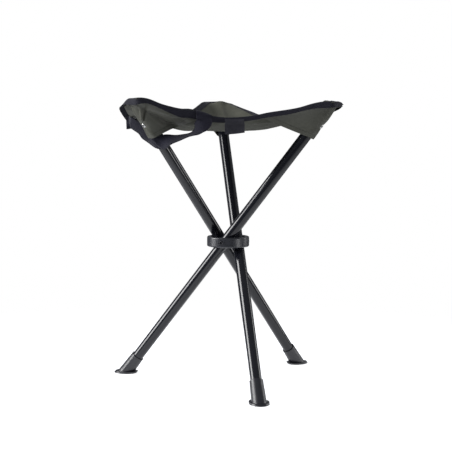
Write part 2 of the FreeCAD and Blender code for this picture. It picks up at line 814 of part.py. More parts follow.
def make_corner_pocket(leg):
    name = "corner_pocket_%d" % (leg + 1)
    start = size("upper_reach") - size("pocket_depth")
    wrapped = CAP_REACH + POCKET_OVERREACH
    top = pocket_rim(leg, RIM_LENGTH, 1).z - POCKET_TOP_MARGIN
    reaches = [start + (wrapped - start) * step / (POCKET_STEPS - 1) for step in range(POCKET_STEPS)]
    reaches.append(top)
    sections = [pocket_section(leg, reach) for reach in reaches]
    cloth = Part.makeLoft(sections, True, True)
    hole_radius = size("corner_rivet_shank") / 2 + size("soft_gap")
    hole = Part.makeCylinder(
        hole_radius, size("tube_diameter"), Vector(0, 0, CORNER_RIVET_REACH), Y_AXIS
    )
    pocket = doc.addObject("Part::Feature", name)
    pocket.Label = name
    pocket.Shape = cloth.cut(hole)
    pocket.Placement = leg_placement(leg)
    return pocket


# Carry strap: webbing sewn to the left rear edge, round the front of leg 3 and up over
# the front edge

STRAP_LEG = 2
STRAP_SAGS = ((0.33, 1.0), (0.66, 0.8))  # shares of the way to the front and of the sag


def strap_stations():
    """Middle points of the strap and the directions of its width, in order."""
    frame = corner_frame(STRAP_LEG)
    clear = size("soft_gap") * 3 + size("binding_thickness") + size("strap_thickness") / 2
    half = size("strap_width") / 2
    swing = size("strap_swing")
    band_bottom = size("binding_width") - BINDING_RISE
    sewn_drop = Vector(0, 0, band_bottom + half - size("strap_sewn_overlap"))
    sewn_place = RIM_LENGTH - size("strap_sewn_inset")
    rear = rim_point(sewn_place, -1)
    sewn = frame.multVec(rear + rim_square(sewn_place, -1) * (clear + swing) - sewn_drop)

    leg_frame = leg_placement(STRAP_LEG)
    beside = TUBE_RADIUS + size("soft_gap") + size("strap_thickness") + swing
    reach = size("upper_reach") - size("strap_crossing_inset")
    across = leg_frame.multVec(Vector(-1, 1, 0).normalize() * beside + Vector(0, 0, reach))
    bulge = Vector(size("strap_bulge"), 0, -size("strap_bulge_drop"))
    bend = (sewn + across) * 0.5 + frame.Rotation.multVec(bulge)
    along_leg = leg_frame.Rotation.multVec(Z_AXIS)

    place = size("strap_front_place")
    front = rim_point(place, 1)
    forward = frame.Rotation.multVec(rim_run(place, 1))

    def at_front(outward, rise):
        return frame.multVec(front + rim_square(place, 1) * outward + Vector(0, 0, rise))

    gather = at_front(clear + swing, -band_bottom - half)
    billow = frame.Rotation.multVec(rim_square(place, 1)) * size("strap_billow")
    sag = billow - Z_AXIS * size("strap_sag")
    hanging = [across + (gather - across) * run + sag * drop for run, drop in STRAP_SAGS]
    return [
        (sewn, Z_AXIS),
        (bend, Z_AXIS * 2 + along_leg),
        (across, Z_AXIS + along_leg * 2),
        (hanging[0], Z_AXIS),
        (hanging[1], Z_AXIS + forward * 0.4),
        (gather, Z_AXIS + forward),
        (at_front(clear, swing - band_bottom), forward),
        (at_front(clear + size("soft_gap") * 2, BINDING_RISE + size("soft_gap")), forward),
        (at_front(0, clear + BINDING_RISE), forward),
        (at_front(-size("strap_tuck"), clear * 0.5), forward),
    ]


def make_carry_strap():
    stations = strap_stations()
    centres = [point for point, _ in stations]
    half_width = size("strap_width") / 2
    half_thick = size("strap_thickness") / 2
    sections = []
    for index, (centre, width) in enumerate(stations):
        before = centres[max(index - 1, 0)]
        after = centres[min(index + 1, len(centres) - 1)]
        run = (after - before).normalize()
        wide = (width - run * width.dot(run)).normalize()
        thick = run.cross(wide).normalize()
        sections.append(
            [
                centre + wide * half_width + thick * half_thick,
                centre + wide * half_width - thick * half_thick,
                centre - wide * half_width - thick * half_thick,
                centre - wide * half_width + thick * half_thick,
            ]
        )
    strap = doc.addObject("Part::Feature", "carry_strap")
    strap.Label = "carry_strap"
    strap.Shape = skin(sections)
    return strap


# Label tab: blank woven tab sewn under the middle of the front edge

def make_label_tab():
    body = new_body("label_tab")
    sketch = new_sketch(body, "label_outline", "XZ_Plane")
    half = "Sizes.label_width / 2"
    add_outline(
        sketch,
        [
            ("-" + half, "-Sizes.label_height"),
            (half, "-Sizes.label_height"),
            (half, "0"),
            ("-" + half, "0"),
        ],
    )
    pad = body.newObject("PartDesign::Pad", "label_pad")
    pad.Profile = sketch
    pad.setExpression("Length", "Sizes.label_thickness")
    turn = leg_azimuth(0) - CORNER_TURN + 90 - HALF_STEP
    band_bottom = RIM_MID_HEIGHT + BINDING_RISE - size("binding_width")
    out = size("edge_reach") + size("binding_thickness") + 4 * size("soft_gap")
    outward = Rotation(Z_AXIS, turn)
    base = outward.multVec(Vector(out, size("label_shift"), band_bottom + size("label_overlap")))
    body.Placement = Placement(base, outward * Rotation(Z_AXIS, 90))
    return body


pieces = [make_hub_ring(), make_seat_panel(), make_edge_binding(), make_carry_strap()]
pieces.append(make_label_tab())
for number in range(LEGS):
    pieces.append(make_pivot_rivet(number))
    pieces.append(make_pivot_washer(number))
    pieces.append(make_leg_tube(number))
    pieces.append(make_top_plug(number))
    pieces.append(make_rubber_foot(number))
    pieces.append(make_corner_rivet(number))
    pieces.append(make_corner_pocket(number))
doc.recompute()

# Every object has to be sound before anything is written

for item in doc.Objects:
    if "Invalid" in item.State or "Error" in item.State:
        raise ValueError("%s is %s" % (item.Name, item.State))
for piece in pieces:
    if piece.Shape.isNull() or not piece.Shape.isValid() or piece.Shape.Volume <= 0:
        raise ValueError(piece.Label + " has no sound shape")

os.makedirs("parts", exist_ok=True)
for piece in pieces:
    piece.Shape.exportStep("parts/%s.step" % piece.Label)
    print(piece.Label, len(piece.Shape.Solids), round(piece.Shape.Volume, 1))
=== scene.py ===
import functools
import json
import math

import bpy
import numpy as np
from mathutils import Matrix, Vector, noise
from mathutils.bvhtree import BVHTree


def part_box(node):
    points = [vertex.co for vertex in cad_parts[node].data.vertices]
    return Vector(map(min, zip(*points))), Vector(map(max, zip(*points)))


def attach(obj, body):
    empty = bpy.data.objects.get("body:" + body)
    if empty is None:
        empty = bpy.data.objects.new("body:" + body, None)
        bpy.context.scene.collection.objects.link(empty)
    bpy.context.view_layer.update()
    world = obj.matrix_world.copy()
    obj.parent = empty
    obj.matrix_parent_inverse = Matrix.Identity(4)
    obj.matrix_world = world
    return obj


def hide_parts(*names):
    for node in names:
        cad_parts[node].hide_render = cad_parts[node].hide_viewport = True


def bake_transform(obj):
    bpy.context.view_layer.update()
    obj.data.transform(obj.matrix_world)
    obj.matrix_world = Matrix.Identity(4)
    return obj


# Folding tripod stool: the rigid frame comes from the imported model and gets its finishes
# here. The cloth seat, its edge binding, corner pockets, carry strap and tab are modelled
# here. Lengths are in metres. Legs and corners are numbered as in the frame: corner 1 is at
# the right, corner 2 at the rear and corner 3 at the left.

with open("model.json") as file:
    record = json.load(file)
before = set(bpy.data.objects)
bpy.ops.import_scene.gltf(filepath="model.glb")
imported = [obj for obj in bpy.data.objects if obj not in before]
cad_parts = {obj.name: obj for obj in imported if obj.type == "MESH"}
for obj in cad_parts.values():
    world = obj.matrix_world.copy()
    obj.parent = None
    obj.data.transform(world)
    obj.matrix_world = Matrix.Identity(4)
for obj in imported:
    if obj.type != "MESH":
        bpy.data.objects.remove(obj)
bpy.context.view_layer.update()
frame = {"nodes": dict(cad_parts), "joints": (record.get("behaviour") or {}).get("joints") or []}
nodes = frame["nodes"]

UP = Vector((0, 0, 1))
LEGS = (1, 2, 3)


# Sizes that match the frame. Reaches on a leg run up its tube from the pivot.

LEG_TILT = math.radians(37.75)
CORNER_TURN = math.radians(-5.34)
TUBE_RADIUS = 0.0095
MOUTH_REACH = 0.235
RIVET_REACH = 0.260
TIP_IN_LEG = 0.3085

# Sizes of the seat. Its reaches are level, from its middle towards a corner.

SEAT_THICK = 0.0009
CENTRE_HEIGHT = 0.4322
TIP_REACH = 0.198
TIP_HEIGHT = 0.4820
TIP_CURVE = 1.6
HALF_CORNER = 0.024

# Where the cloth lies over the upper end of each tube
CREST_REACH = 0.1745
CREST_HEIGHTS = {1: 0.4833, 2: 0.4855, 3: 0.4848}

# An edge: reach of its middle, how much farther out its ends lie, half its length, the
# height of its middle and the rise to its ends
EDGE_REACH = 0.100
EDGE_BOW = 0.0198
EDGE_LENGTH = 0.1595
EDGE_LOW = 0.4532
EDGE_RISE = 0.025
EDGE_RISE_CURVE = 1.5

# Cosine and sine of the 60 degrees from a corner's way out to the way square to its edge
EDGE_OUT = 0.5
EDGE_ALONG = math.sqrt(0.75)


def leg_axes(leg):
    """The pivot, and the leg's axes: along its pin, to its outer lower side, up the tube."""
    joint = next(j for j in frame["joints"] if j["child"] == "leg_%d" % leg)
    pin = Vector(joint["axis"])
    level = UP.cross(pin)
    outer = level * math.cos(LEG_TILT) - UP * math.sin(LEG_TILT)
    tube = level * math.sin(LEG_TILT) + UP * math.cos(LEG_TILT)
    return Vector(joint["pos_m"]), pin, outer, tube


def corner_axes(leg):
    """Level directions from the seat's middle to its corner, and to the corner's left."""
    out = UP.cross(leg_axes(leg)[1])
    out.rotate(Matrix.Rotation(CORNER_TURN, 3, "Z"))
    return out, UP.cross(out)


def smooth(low, high, value):
    """From 0 at low to 1 at high, easing in and out."""
    share = min(1.0, max(0.0, (value - low) / (high - low)))
    return share * share * (3 - 2 * share)


def hump(value, middle, half_width):
    """1 at the middle, falling to 0 on both sides."""
    return math.exp(-(((value - middle) / half_width) ** 2))


# Seat edge

# Tables for the two edges that meet at a corner have the keys (corner, side). Side 1 is the
# corner's left, seen from the middle of the seat. Their rows are (share of the way from the
# edge's middle to the corner, value).

# How far the used edge stands above its even curve
EDGE_RISES = {
    (1, -1): (
        (0, 0.0), (0.2, 0.0012), (0.36, 0.0034), (0.64, 0.0034),
        (0.80, 0.0058), (0.90, 0.0052), (1, 0.0016),
    ),
    (1, 1): ((0, 0.0), (0.4, 0.0010), (0.8, 0.0), (1, -0.0012)),
    (2, -1): ((0, 0.0), (0.25, 0.0010), (0.5, 0.0032), (0.8, 0.0028), (1, 0.0010)),
    (2, 1): ((0, 0.0050), (0.25, 0.0055), (0.46, 0.0080), (0.77, 0.0105), (1, 0.0050)),
    (3, -1): (
        (0, 0.0050), (0.25, 0.0020), (0.5, -0.0050),
        (0.75, -0.0130), (0.87, -0.0185), (1, -0.0050),
    ),
    (3, 1): (
        (0, 0.0), (0.13, -0.0010), (0.3, 0.0006), (0.38, 0.0040), (0.46, 0.0055), (0.55, 0.0034),
        (0.65, 0.0038), (0.75, 0.0049), (0.86, 0.0080), (0.93, 0.0083), (1, 0.0054),
    ),
}

# What each tip adds to its height
TIP_RISES = {1: -0.0018, 2: 0.0015, 3: 0.0006}

# How much wider or, below 0, narrower a side of the corner is pulled, and how late
CORNER_SPREADS = {(2, 1): 0.004, (3, -1): -0.006}
SPREAD_CURVE = 6


def reading(table, share):
    """Value of a table at a share, on smooth curves between its rows."""
    row = 0
    while row < len(table) - 2 and share > table[row + 1][0]:
        row += 1
    (low, first), (high, second) = table[row], table[row + 1]
    before = table[row - 1] if row else table[row]
    after = table[row + 2] if row + 2 < len(table) else table[row + 1]
    slope_in = (second - before[1]) / (high - before[0])
    slope_out = (after[1] - first) / (after[0] - low)
    width = high - low
    t = min(1.0, max(0.0, (share - low) / width))
    return (
        first * (2 * t**3 - 3 * t**2 + 1)
        + slope_in * width * (t**3 - 2 * t**2 + t)
        + second * (3 * t**2 - 2 * t**3)
        + slope_out * width * (t**3 - t**2)
    )


def edge_height(leg, side, share):
    """Height of the seat's edge, share of the way from its middle to a corner."""
    return EDGE_LOW + EDGE_RISE * share**EDGE_RISE_CURVE + reading(EDGE_RISES[leg, side], share)


def side_ways(leg, side):
    """Level directions square to an edge of the corner, and along it to the corner."""
    out, left = corner_axes(leg)
    outward = out * EDGE_OUT + left * (side * EDGE_ALONG)
    forward = out * EDGE_ALONG - left * (side * EDGE_OUT)
    return outward, forward


def edge_plan(leg, side, share):
    """Place of the edge seen from above, with no height."""
    outward, forward = side_ways(leg, side)
    wider = CORNER_SPREADS.get((leg, side), 0.0) * share**SPREAD_CURVE
    spread = corner_axes(leg)[1] * (side * wider)
    reach = EDGE_REACH + EDGE_BOW * share**2
    return outward * reach + forward * (EDGE_LENGTH * share) + spread


def edge_point(leg, side, share):
    return edge_plan(leg, side, share) + UP * edge_height(leg, side, share)


def tip_point(leg, across):
    """Point of the corner's short end edge, across from -1 to 1."""
    end = edge_point(leg, 1 if across >= 0 else -1, 1.0)
    top = TIP_HEIGHT + TIP_RISES[leg]
    point = (corner_axes(leg)[0] * TIP_REACH).lerp(Vector((end.x, end.y, 0)), abs(across))
    return point + UP * (top + (end.z - top) * abs(across) ** TIP_CURVE)


# Helper for sheets

SMOOTH_ANGLE = math.radians(50)


def cloth_sheet(name, columns, rows, place, thickness, material, offset=0.0, flip=False):
    """A sheet of columns by rows cells. place(u, v), with u and v from 0 to 1, gives a point
    and its place on the flat pattern, in metres. Offset -1 puts the thickness under it."""
    bpy.ops.object.select_all(action="DESELECT")
    bpy.ops.mesh.primitive_grid_add(x_subdivisions=columns, y_subdivisions=rows, size=2)
    sheet = bpy.context.object
    sheet.name = name
    sheet.data.name = name
    flat = []
    for vertex in sheet.data.vertices:
        vertex.co, spot = place((vertex.co.x + 1) / 2, (vertex.co.y + 1) / 2)
        flat.append(spot)
    pattern = sheet.data.uv_layers.active.data
    for loop in sheet.data.loops:
        pattern[loop.index].uv = flat[loop.vertex_index]
    if flip:
        bpy.ops.object.mode_set(mode="EDIT")
        bpy.ops.mesh.select_all(action="SELECT")
        bpy.ops.mesh.flip_normals()
        bpy.ops.object.mode_set(mode="OBJECT")
    wall = sheet.modifiers.new("thickness", "SOLIDIFY")
    wall.thickness = thickness
    wall.offset = offset
    wall.edge_crease_inner = wall.edge_crease_outer = wall.edge_crease_rim = 1.0
    bpy.ops.object.modifier_apply(modifier=wall.name)
    finer = sheet.modifiers.new("finer", "SUBSURF")
    finer.levels = finer.render_levels = 1
    bpy.ops.object.modifier_apply(modifier=finer.name)
    bpy.ops.object.shade_smooth_by_angle(angle=SMOOTH_ANGLE)
    sheet.data.materials.append(material)
    return sheet


# Helpers for materials

def fix(node, **values):
    """Sets a node's inputs, with _ for the spaces in their names, and its settings. Another
    node's output is linked to the input."""
    for name, value in values.items():
        socket = node.inputs.get(name.replace("_", " "))
        if socket is None:
            setattr(node, name, value)
        elif isinstance(value, bpy.types.NodeSocket):
            node.id_data.links.new(value, socket)
        else:
            socket.default_value = value


def add(tree, kind, **values):
    made = tree.nodes.new("ShaderNode" + kind)
    fix(made, **values)
    return made


def new_material(name, kind):
    """A material, its nodes, its shader and its coordinates of a kind."""
    material = bpy.data.materials.new(name)
    material.use_nodes = True
    tree = material.node_tree
    place = add(tree, "TexCoord").outputs[kind]
    return material, tree, tree.nodes["Principled BSDF"], place


def math_node(tree, operation, *values):
    made = add(tree, "Math", operation=operation)
    for socket, value in zip(made.inputs, values):
        if isinstance(value, (int, float)):
            socket.default_value = value
        else:
            tree.links.new(value, socket)
    return made.outputs[0]


def plus(tree, first, second, weight):
    """first with second added in by a weight."""
    return math_node(tree, "ADD", first, math_node(tree, "MULTIPLY", second, weight))


def colours(tree, factor, *stops):
    """A ramp from factor, with stops of (place, (red, green, blue))."""
    ramp = tree.nodes.new("ShaderNodeValToRGB")
    while len(ramp.color_ramp.elements) < len(stops):
        ramp.color_ramp.elements.new(0.5)
    for element, (place, colour) in zip(ramp.color_ramp.elements, stops):
        element.position = place
        element.color = (*colour, 1.0)
    tree.links.new(factor, ramp.inputs["Fac"])
    return ramp.outputs["Color"]


def spread(tree, factor, low, high):
    """From low to high as factor goes from 0 to 1."""
    return add(tree, "MapRange", Value=factor, To_Min=low, To_Max=high).outputs["Result"]


def cloudy(tree, place, scale, detail=4.0, roughness=0.55):
    made = add(tree, "TexNoise", Vector=place, Scale=scale, Detail=detail, Roughness=roughness)
    return made.outputs["Fac"]


def ripples(tree, place, pitch, direction):
    """Rounded ribs of a pitch in metres, from 0 to 1."""
    made = add(tree, "TexWave", bands_direction=direction, wave_profile="SIN")
    fix(made, Vector=place, Scale=2 * math.pi / (20 * pitch), Distortion=0.0)
    return made.outputs["Fac"]


def bumps(tree, height, distance, shader, strength):
    made = add(tree, "Bump", Height=height, Distance=distance, Strength=strength)
    fix(shader, Normal=made.outputs["Normal"])


# Share of a stitch's pitch on which its thread shows
THREAD_SHARE = 0.72


def stitch_mask(tree, along, across, rows, pitch=0.0032, half_thread=0.00035):
    """1 on the threads of straight rows of stitches, 0 beside them. rows are places across."""
    beat = math_node(tree, "FRACT", math_node(tree, "DIVIDE", along, pitch))
    on_thread = math_node(tree, "LESS_THAN", beat, THREAD_SHARE)
    total = None
    for row in rows:
        away = math_node(tree, "ABSOLUTE", math_node(tree, "SUBTRACT", across, row))
        near = math_node(tree, "LESS_THAN", away, half_thread)
        total = near if total is None else math_node(tree, "MAXIMUM", total, near)
    return math_node(tree, "MULTIPLY", on_thread, total)


def mixed(tree, factor, first, second):
    """Colour first where factor is 0, and the plain colour second where it is 1."""
    made = add(tree, "Mix", data_type="RGBA", Factor=factor)
    tree.links.new(first, made.inputs[6])
    made.inputs[7].default_value = (*second, 1.0)
    return made.outputs[2]


# Finishes

CLOTH_WEAVE = 0.0008
OLIVE_DARK, OLIVE, OLIVE_PALE = (0.045, 0.046, 0.036), (0.056, 0.057, 0.046), (0.071, 0.072, 0.059)
OLIVE_THREAD = (0.022, 0.024, 0.019)
GREY_THREAD = (0.13, 0.13, 0.14)


def cover(tree, shader, paint, factor, low, high):
    """Paint on the shader, and roughness from low to high as factor goes from 0 to 1."""
    fix(shader, Base_Color=paint, Roughness=spread(tree, factor, low, high))


def coated_cloth(name, gloss, stitch_rows=()):
    """Olive coated polyester: fine plain weave, soft sheen, faint clouds of handling."""
    material, tree, shader, pattern = new_material(name, "UV")
    apart = add(tree, "SeparateXYZ", Vector=pattern)
    clouds = cloudy(tree, pattern, 22.0)
    slubs = cloudy(tree, pattern, 420.0, detail=2.0)
    warp = ripples(tree, pattern, CLOTH_WEAVE, "X")
    weft = ripples(tree, pattern, CLOTH_WEAVE, "Y")
    weave = math_node(tree, "MULTIPLY", warp, weft)
    tone = plus(tree, math_node(tree, "MULTIPLY", clouds, 0.85), slubs, 0.15)
    # The weave lightens the threads' crowns a little and darkens the hollows between them: a faint
    # painted highlight and painted shade.
    tone = plus(tree, tone, weave, 0.05)
    paint = colours(tree, tone, (0.30, OLIVE_DARK), (0.52, OLIVE), (0.78, OLIVE_PALE))
    if stitch_rows:
        thread = stitch_mask(tree, apart.outputs[0], apart.outputs[1], stitch_rows)
        paint = mixed(tree, thread, paint, OLIVE_THREAD)
        weave = plus(tree, weave, thread, 2.5)
    cover(tree, shader, paint, clouds, 0.46, 0.60)
    bumps(tree, weave, 0.00008, shader, strength=0.25)
    fix(shader, Specular_IOR_Level=gloss, Sheen_Weight=0.03, Sheen_Roughness=0.45)
    return material


def ribbed_tape(name, rib, ground, pale_tone_and_crown_highlight, stitch_rows, thread_colour, cross_rows=()):
    """Woven tape: ribs of a pitch across it, their colours in the grooves and on the crowns,
    and rows of stitches along it. The grooves' darker colour is painted shade and the crowns'
    paler one a painted highlight, mixed with the tape's own cloudy tone. Rows across the tape
    are sewn with grey thread."""
    material, tree, shader, pattern = new_material(name, "UV")
    apart = add(tree, "SeparateXYZ", Vector=pattern)
    ribs = ripples(tree, pattern, rib, "X")
    ends = ripples(tree, pattern, rib * 0.8, "Y")
    weave = plus(tree, ribs, ends, 0.45)
    clouds = cloudy(tree, pattern, 60.0)
    fuzz = cloudy(tree, pattern, 900.0, detail=2.0)
    tone = plus(tree, math_node(tree, "MULTIPLY", weave, 0.35), clouds, 0.5)
    # The ribs darken the grooves and lighten the crowns: painted shade and painted highlight over
    # the tape's own cloudy tone.
    paint = colours(tree, tone, (0.2, ground), (0.9, pale_tone_and_crown_highlight))
    thread = stitch_mask(tree, apart.outputs[0], apart.outputs[1], stitch_rows)
    paint = mixed(tree, thread, paint, thread_colour)
    if cross_rows:
        sewn = stitch_mask(
            tree, apart.outputs[1], apart.outputs[0], cross_rows, pitch=0.0026, half_thread=0.00045
        )
        paint = mixed(tree, sewn, paint, GREY_THREAD)
    cover(tree, shader, paint, fuzz, 0.70, 0.88)
    bumps(tree, plus(tree, weave, thread, 1.6), 0.0002, shader, strength=0.4)
    fix(shader, Specular_IOR_Level=0.12, Sheen_Weight=0.05, Sheen_Roughness=0.5)
    return material


def gloss_paint(name):
    """Black stove enamel on steel tube: deep gloss with a slight ripple and fine dust."""
    material, tree, shader, place = new_material(name, "Object")
    ripple = cloudy(tree, place, 90.0, detail=1.0)
    dust = cloudy(tree, place, 900.0, detail=3.0, roughness=0.7)
    wear = cloudy(tree, place, 14.0)
    paint = colours(tree, dust, (0.45, (0.0045, 0.0048, 0.0075)), (0.8, (0.008, 0.0085, 0.012)))
    cover(tree, shader, paint, wear, 0.10, 0.17)
    bumps(tree, ripple, 0.00002, shader, strength=0.1)
    fix(shader, Specular_IOR_Level=0.4)
    return material


def moulded_plastic(name, dark, light, low, high, grain=1500.0, relief=0.00004):
    """Moulded plastic or rubber with a fine spark-eroded grain."""
    material, tree, shader, place = new_material(name, "Object")
    fine = cloudy(tree, place, grain, detail=3.0, roughness=0.6)
    flow = cloudy(tree, place, 35.0)
    tone = plus(tree, math_node(tree, "MULTIPLY", fine, 0.35), flow, 0.65)
    cover(tree, shader, colours(tree, tone, (0.3, dark), (0.75, light)), flow, low, high)
    bumps(tree, fine, relief, shader, strength=0.6)
    return material


def turned_metal(name, dark, light, low, high):
    """Plated rivet steel with fine turning marks."""
    material, tree, shader, place = new_material(name, "Object")
    marks = cloudy(tree, place, 1800.0, detail=2.0)
    clouds = cloudy(tree, place, 240.0)
    cover(tree, shader, colours(tree, clouds, (0.3, dark), (0.75, light)), marks, low, high)
    bumps(tree, marks, 0.00002, shader, strength=0.5)
    fix(shader, Metallic=1.0)
    return material


TUBE_PAINT = gloss_paint("gloss_black_tube")
HUB_PLASTIC = moulded_plastic(
    "satin_hub_plastic", (0.013, 0.014, 0.018), (0.021, 0.022, 0.027), 0.30, 0.38, relief=0.00001
)
WASHER_PLASTIC = moulded_plastic(
    "washer_plastic", (0.012, 0.012, 0.013), (0.02, 0.02, 0.021), 0.5, 0.6
)
FOOT_RUBBER = moulded_plastic(
    "foot_rubber", (0.006, 0.006, 0.009), (0.012, 0.012, 0.016), 0.30, 0.40, grain=900.0
)
DARK_RIVET = turned_metal("dark_pivot_rivet", (0.05, 0.05, 0.055), (0.10, 0.10, 0.11), 0.28, 0.42)
BRIGHT_RIVET = turned_metal(
    "bright_corner_rivet", (0.42, 0.42, 0.42), (0.62, 0.62, 0.61), 0.20, 0.34
)
SEAT_CLOTH = coated_cloth("olive_seat_cloth", 0.06)
POCKET_CLOTH = coated_cloth("olive_pocket_cloth", 0.34, stitch_rows=(0.0070,))
# Each tape's ground is its darkest tone with the painted shade of its grooves, and its other colour
# is its palest tone with the painted highlight of its crowns.
BINDING_TAPE = ribbed_tape(
    "binding_tape", rib=0.0011, ground=(0.010, 0.010, 0.015), pale_tone_and_crown_highlight=(0.020, 0.020, 0.028),
    stitch_rows=(0.0018, 0.0190), thread_colour=(0.009, 0.009, 0.013),
)
STRAP_WEBBING = ribbed_tape(
    "strap_webbing", rib=0.0016, ground=(0.008, 0.008, 0.014), pale_tone_and_crown_highlight=(0.017, 0.017, 0.026),
    stitch_rows=(0.0025, 0.0225), thread_colour=(0.008, 0.008, 0.012), cross_rows=(0.0075,),
)
LABEL_CLOTH = ribbed_tape(
    "woven_label", rib=0.0005, ground=(0.018, 0.018, 0.024), pale_tone_and_crown_highlight=(0.038, 0.038, 0.046),
    stitch_rows=(0.0160,), thread_colour=(0.03, 0.03, 0.035),
)


def refinish(node, material):
    """Gives a carried-over piece its finish."""
    piece = nodes[node]
    piece.data.materials.clear()
    piece.data.materials.append(material)
    for polygon in piece.data.polygons:
        polygon.material_index = 0


def finish_frame():
    refinish("hub_ring", HUB_PLASTIC)
    for leg in LEGS:
        refinish("leg_tube_%d" % leg, TUBE_PAINT)
        refinish("top_plug_%d" % leg, WASHER_PLASTIC)
        refinish("pivot_washer_%d" % leg, WASHER_PLASTIC)
        refinish("pivot_rivet_%d" % leg, DARK_RIVET)
        refinish("corner_rivet_%d" % leg, BRIGHT_RIVET)
        refinish("rubber_foot_%d" % leg, FOOT_RUBBER)


# Seat cloth: three kites that meet in the middle, hung from the bound edge

SEAT_CELLS = 54

# Pieces of one sheet lap under each other where they meet
SEAM_LAP = 0.0008
SEAM_DIP = 0.00006

# A share of the way that counts as all of it
WHOLE = 0.9999

# The cloth's rest on a plug: how far before the crest, half its width, its slope
PLUG_LEAD, PLUG_HALF, PLUG_SLOPE = 0.004, 0.0065, 0.08

# Least pull in the net, and the imbalance or rounds at which it counts as settled
LEAST_PULL, SETTLED, SETTLE_ROUNDS = 0.02, 1e-22, 700

# How flat the cloth's profile is in its middle, and what is added towards the left
FULLNESS, LEFT_FULLNESS = 1.22, 1.08
LEFT_FROM, LEFT_OVER, LEFT_CURVE = 0.005, 0.075, 1.5
LEAST_ROOM = 0.001


def seat_plan(leg, along, across):
    """Place from above: along from the middle to the corner, across from -1 to 1."""
    side = 1 if across >= 0 else -1
    crest = corner_axes(leg)[0] * (TIP_REACH * along)
    return crest.lerp(edge_plan(leg, side, along), abs(across))


def held_height(leg, along, across):
    """Height where the cloth is held: at its edge, its tip and over the leg's plug."""
    side = 1 if across >= 0 else -1
    if abs(across) > WHOLE:
        return edge_height(leg, side, along)
    reach = TIP_REACH * along
    past = max(0.0, reach - CREST_REACH) / (TIP_REACH - CREST_REACH)
    crest = CREST_HEIGHTS[leg] - (CREST_HEIGHTS[leg] - TIP_HEIGHT - TIP_RISES[leg]) * past
    if along > WHOLE:
        return tip_point(leg, across).z
    beside = seat_plan(leg, along, across).dot(corner_axes(leg)[1])
    if reach >= CREST_REACH - PLUG_LEAD and abs(beside) < PLUG_HALF:
        return crest - PLUG_SLOPE * abs(beside)
    return None


def seat_net():
    """The cloth as a net: its points from above, each once, the heights of the held ones, the
    number of the point in the middle, and grid[leg, row, column], the number of each place."""
    spots, index, held, grid = [], {}, {}, {}
    for leg in LEGS:
        for i in range(SEAT_CELLS + 1):
            for j in range(SEAT_CELLS + 1):
                along, across = i / SEAT_CELLS, 2 * j / SEAT_CELLS - 1
                plan = seat_plan(leg, along, across)
                key = (round(plan.x, 6), round(plan.y, 6))
                if key not in index:
                    index[key] = len(spots)
                    spots.append((plan.x, plan.y))
                grid[leg, i, j] = index[key]
                height = held_height(leg, along, across)
                if height is not None:
                    held[index[key]] = height
    return np.array(spots), held, index[0.0, 0.0], grid


def net_pulls(spots, grid):
    """Pairs of neighbouring points and the pull between them, and each point's share of the
    cloth's area."""
    corners = []
    for leg in LEGS:
        for i in range(SEAT_CELLS):
            for j in range(SEAT_CELLS):
                a, b = grid[leg, i, j], grid[leg, i + 1, j]
                c, d = grid[leg, i + 1, j + 1], grid[leg, i, j + 1]
                corners += [(a, b, c), (a, c, d)]
    corners = np.array([c for c in corners if len(set(c)) == 3])
    ends, far, pull = [], [], []
    area = np.zeros(len(spots))
    for k in range(3):
        a, b, c = corners[:, k], corners[:, (k + 1) % 3], corners[:, (k + 2) % 3]
        first, second = spots[b] - spots[a], spots[c] - spots[a]
        cross = np.abs(first[:, 0] * second[:, 1] - first[:, 1] * second[:, 0])
        cotangent = (first * second).sum(1) / np.maximum(cross, 1e-12) / 2
        cotangent = np.maximum(cotangent, LEAST_PULL)
        ends += [b, c]
        far += [c, b]
        pull += [cotangent, cotangent]
        np.add.at(area, a, cross / 6)
    return np.concatenate(ends), np.concatenate(far), np.concatenate(pull), area


def hang_cloth():
    """Heights of the seat cloth, as a skin under tension that sags to the middle's height.
    Returns heights[leg, row, column]."""
    spots, held, middle, grid = seat_net()
    ends, far, pull, area = net_pulls(spots, grid)
    count = len(spots)
    total = np.bincount(ends, pull, count)
    free = np.ones(count, bool)
    free[list(held)] = False

    def out_of_balance(values):
        return (total * values - np.bincount(ends, pull * values[far], count)) * free

    def settle(start, load):
        """Heights at which the pulls carry the load, found by conjugate gradients."""
        values = start.copy()
        rest = load * free - out_of_balance(values)
        step = rest.copy()
        size = rest @ rest
        for _ in range(SETTLE_ROUNDS):
            pushed = out_of_balance(step)
            move = size / max(step @ pushed, 1e-30)
            values += move * step
            rest -= move * pushed
            new = rest @ rest
            if new < SETTLED:
                break
            step = rest + (new / size) * step
            size = new
        return values

    start = np.zeros(count)
    start[list(held)] = list(held.values())
    taut = settle(start, np.zeros(count))
    sag = settle(np.zeros(count), area)
    hung = taut + sag * (CENTRE_HEIGHT - taut[middle]) / sag[middle]
    room = np.maximum(taut - CENTRE_HEIGHT, LEAST_ROOM)
    leftness = np.clip((LEFT_FROM - spots[:, 0]) / LEFT_OVER, 0, 1)
    fullness = FULLNESS + LEFT_FULLNESS * leftness**LEFT_CURVE
    depth = np.clip((hung - CENTRE_HEIGHT) / room, 0, None)
    heights = np.where(free, CENTRE_HEIGHT + room * depth**fullness, hung)
    return {key: heights[number] for key, number in grid.items()}


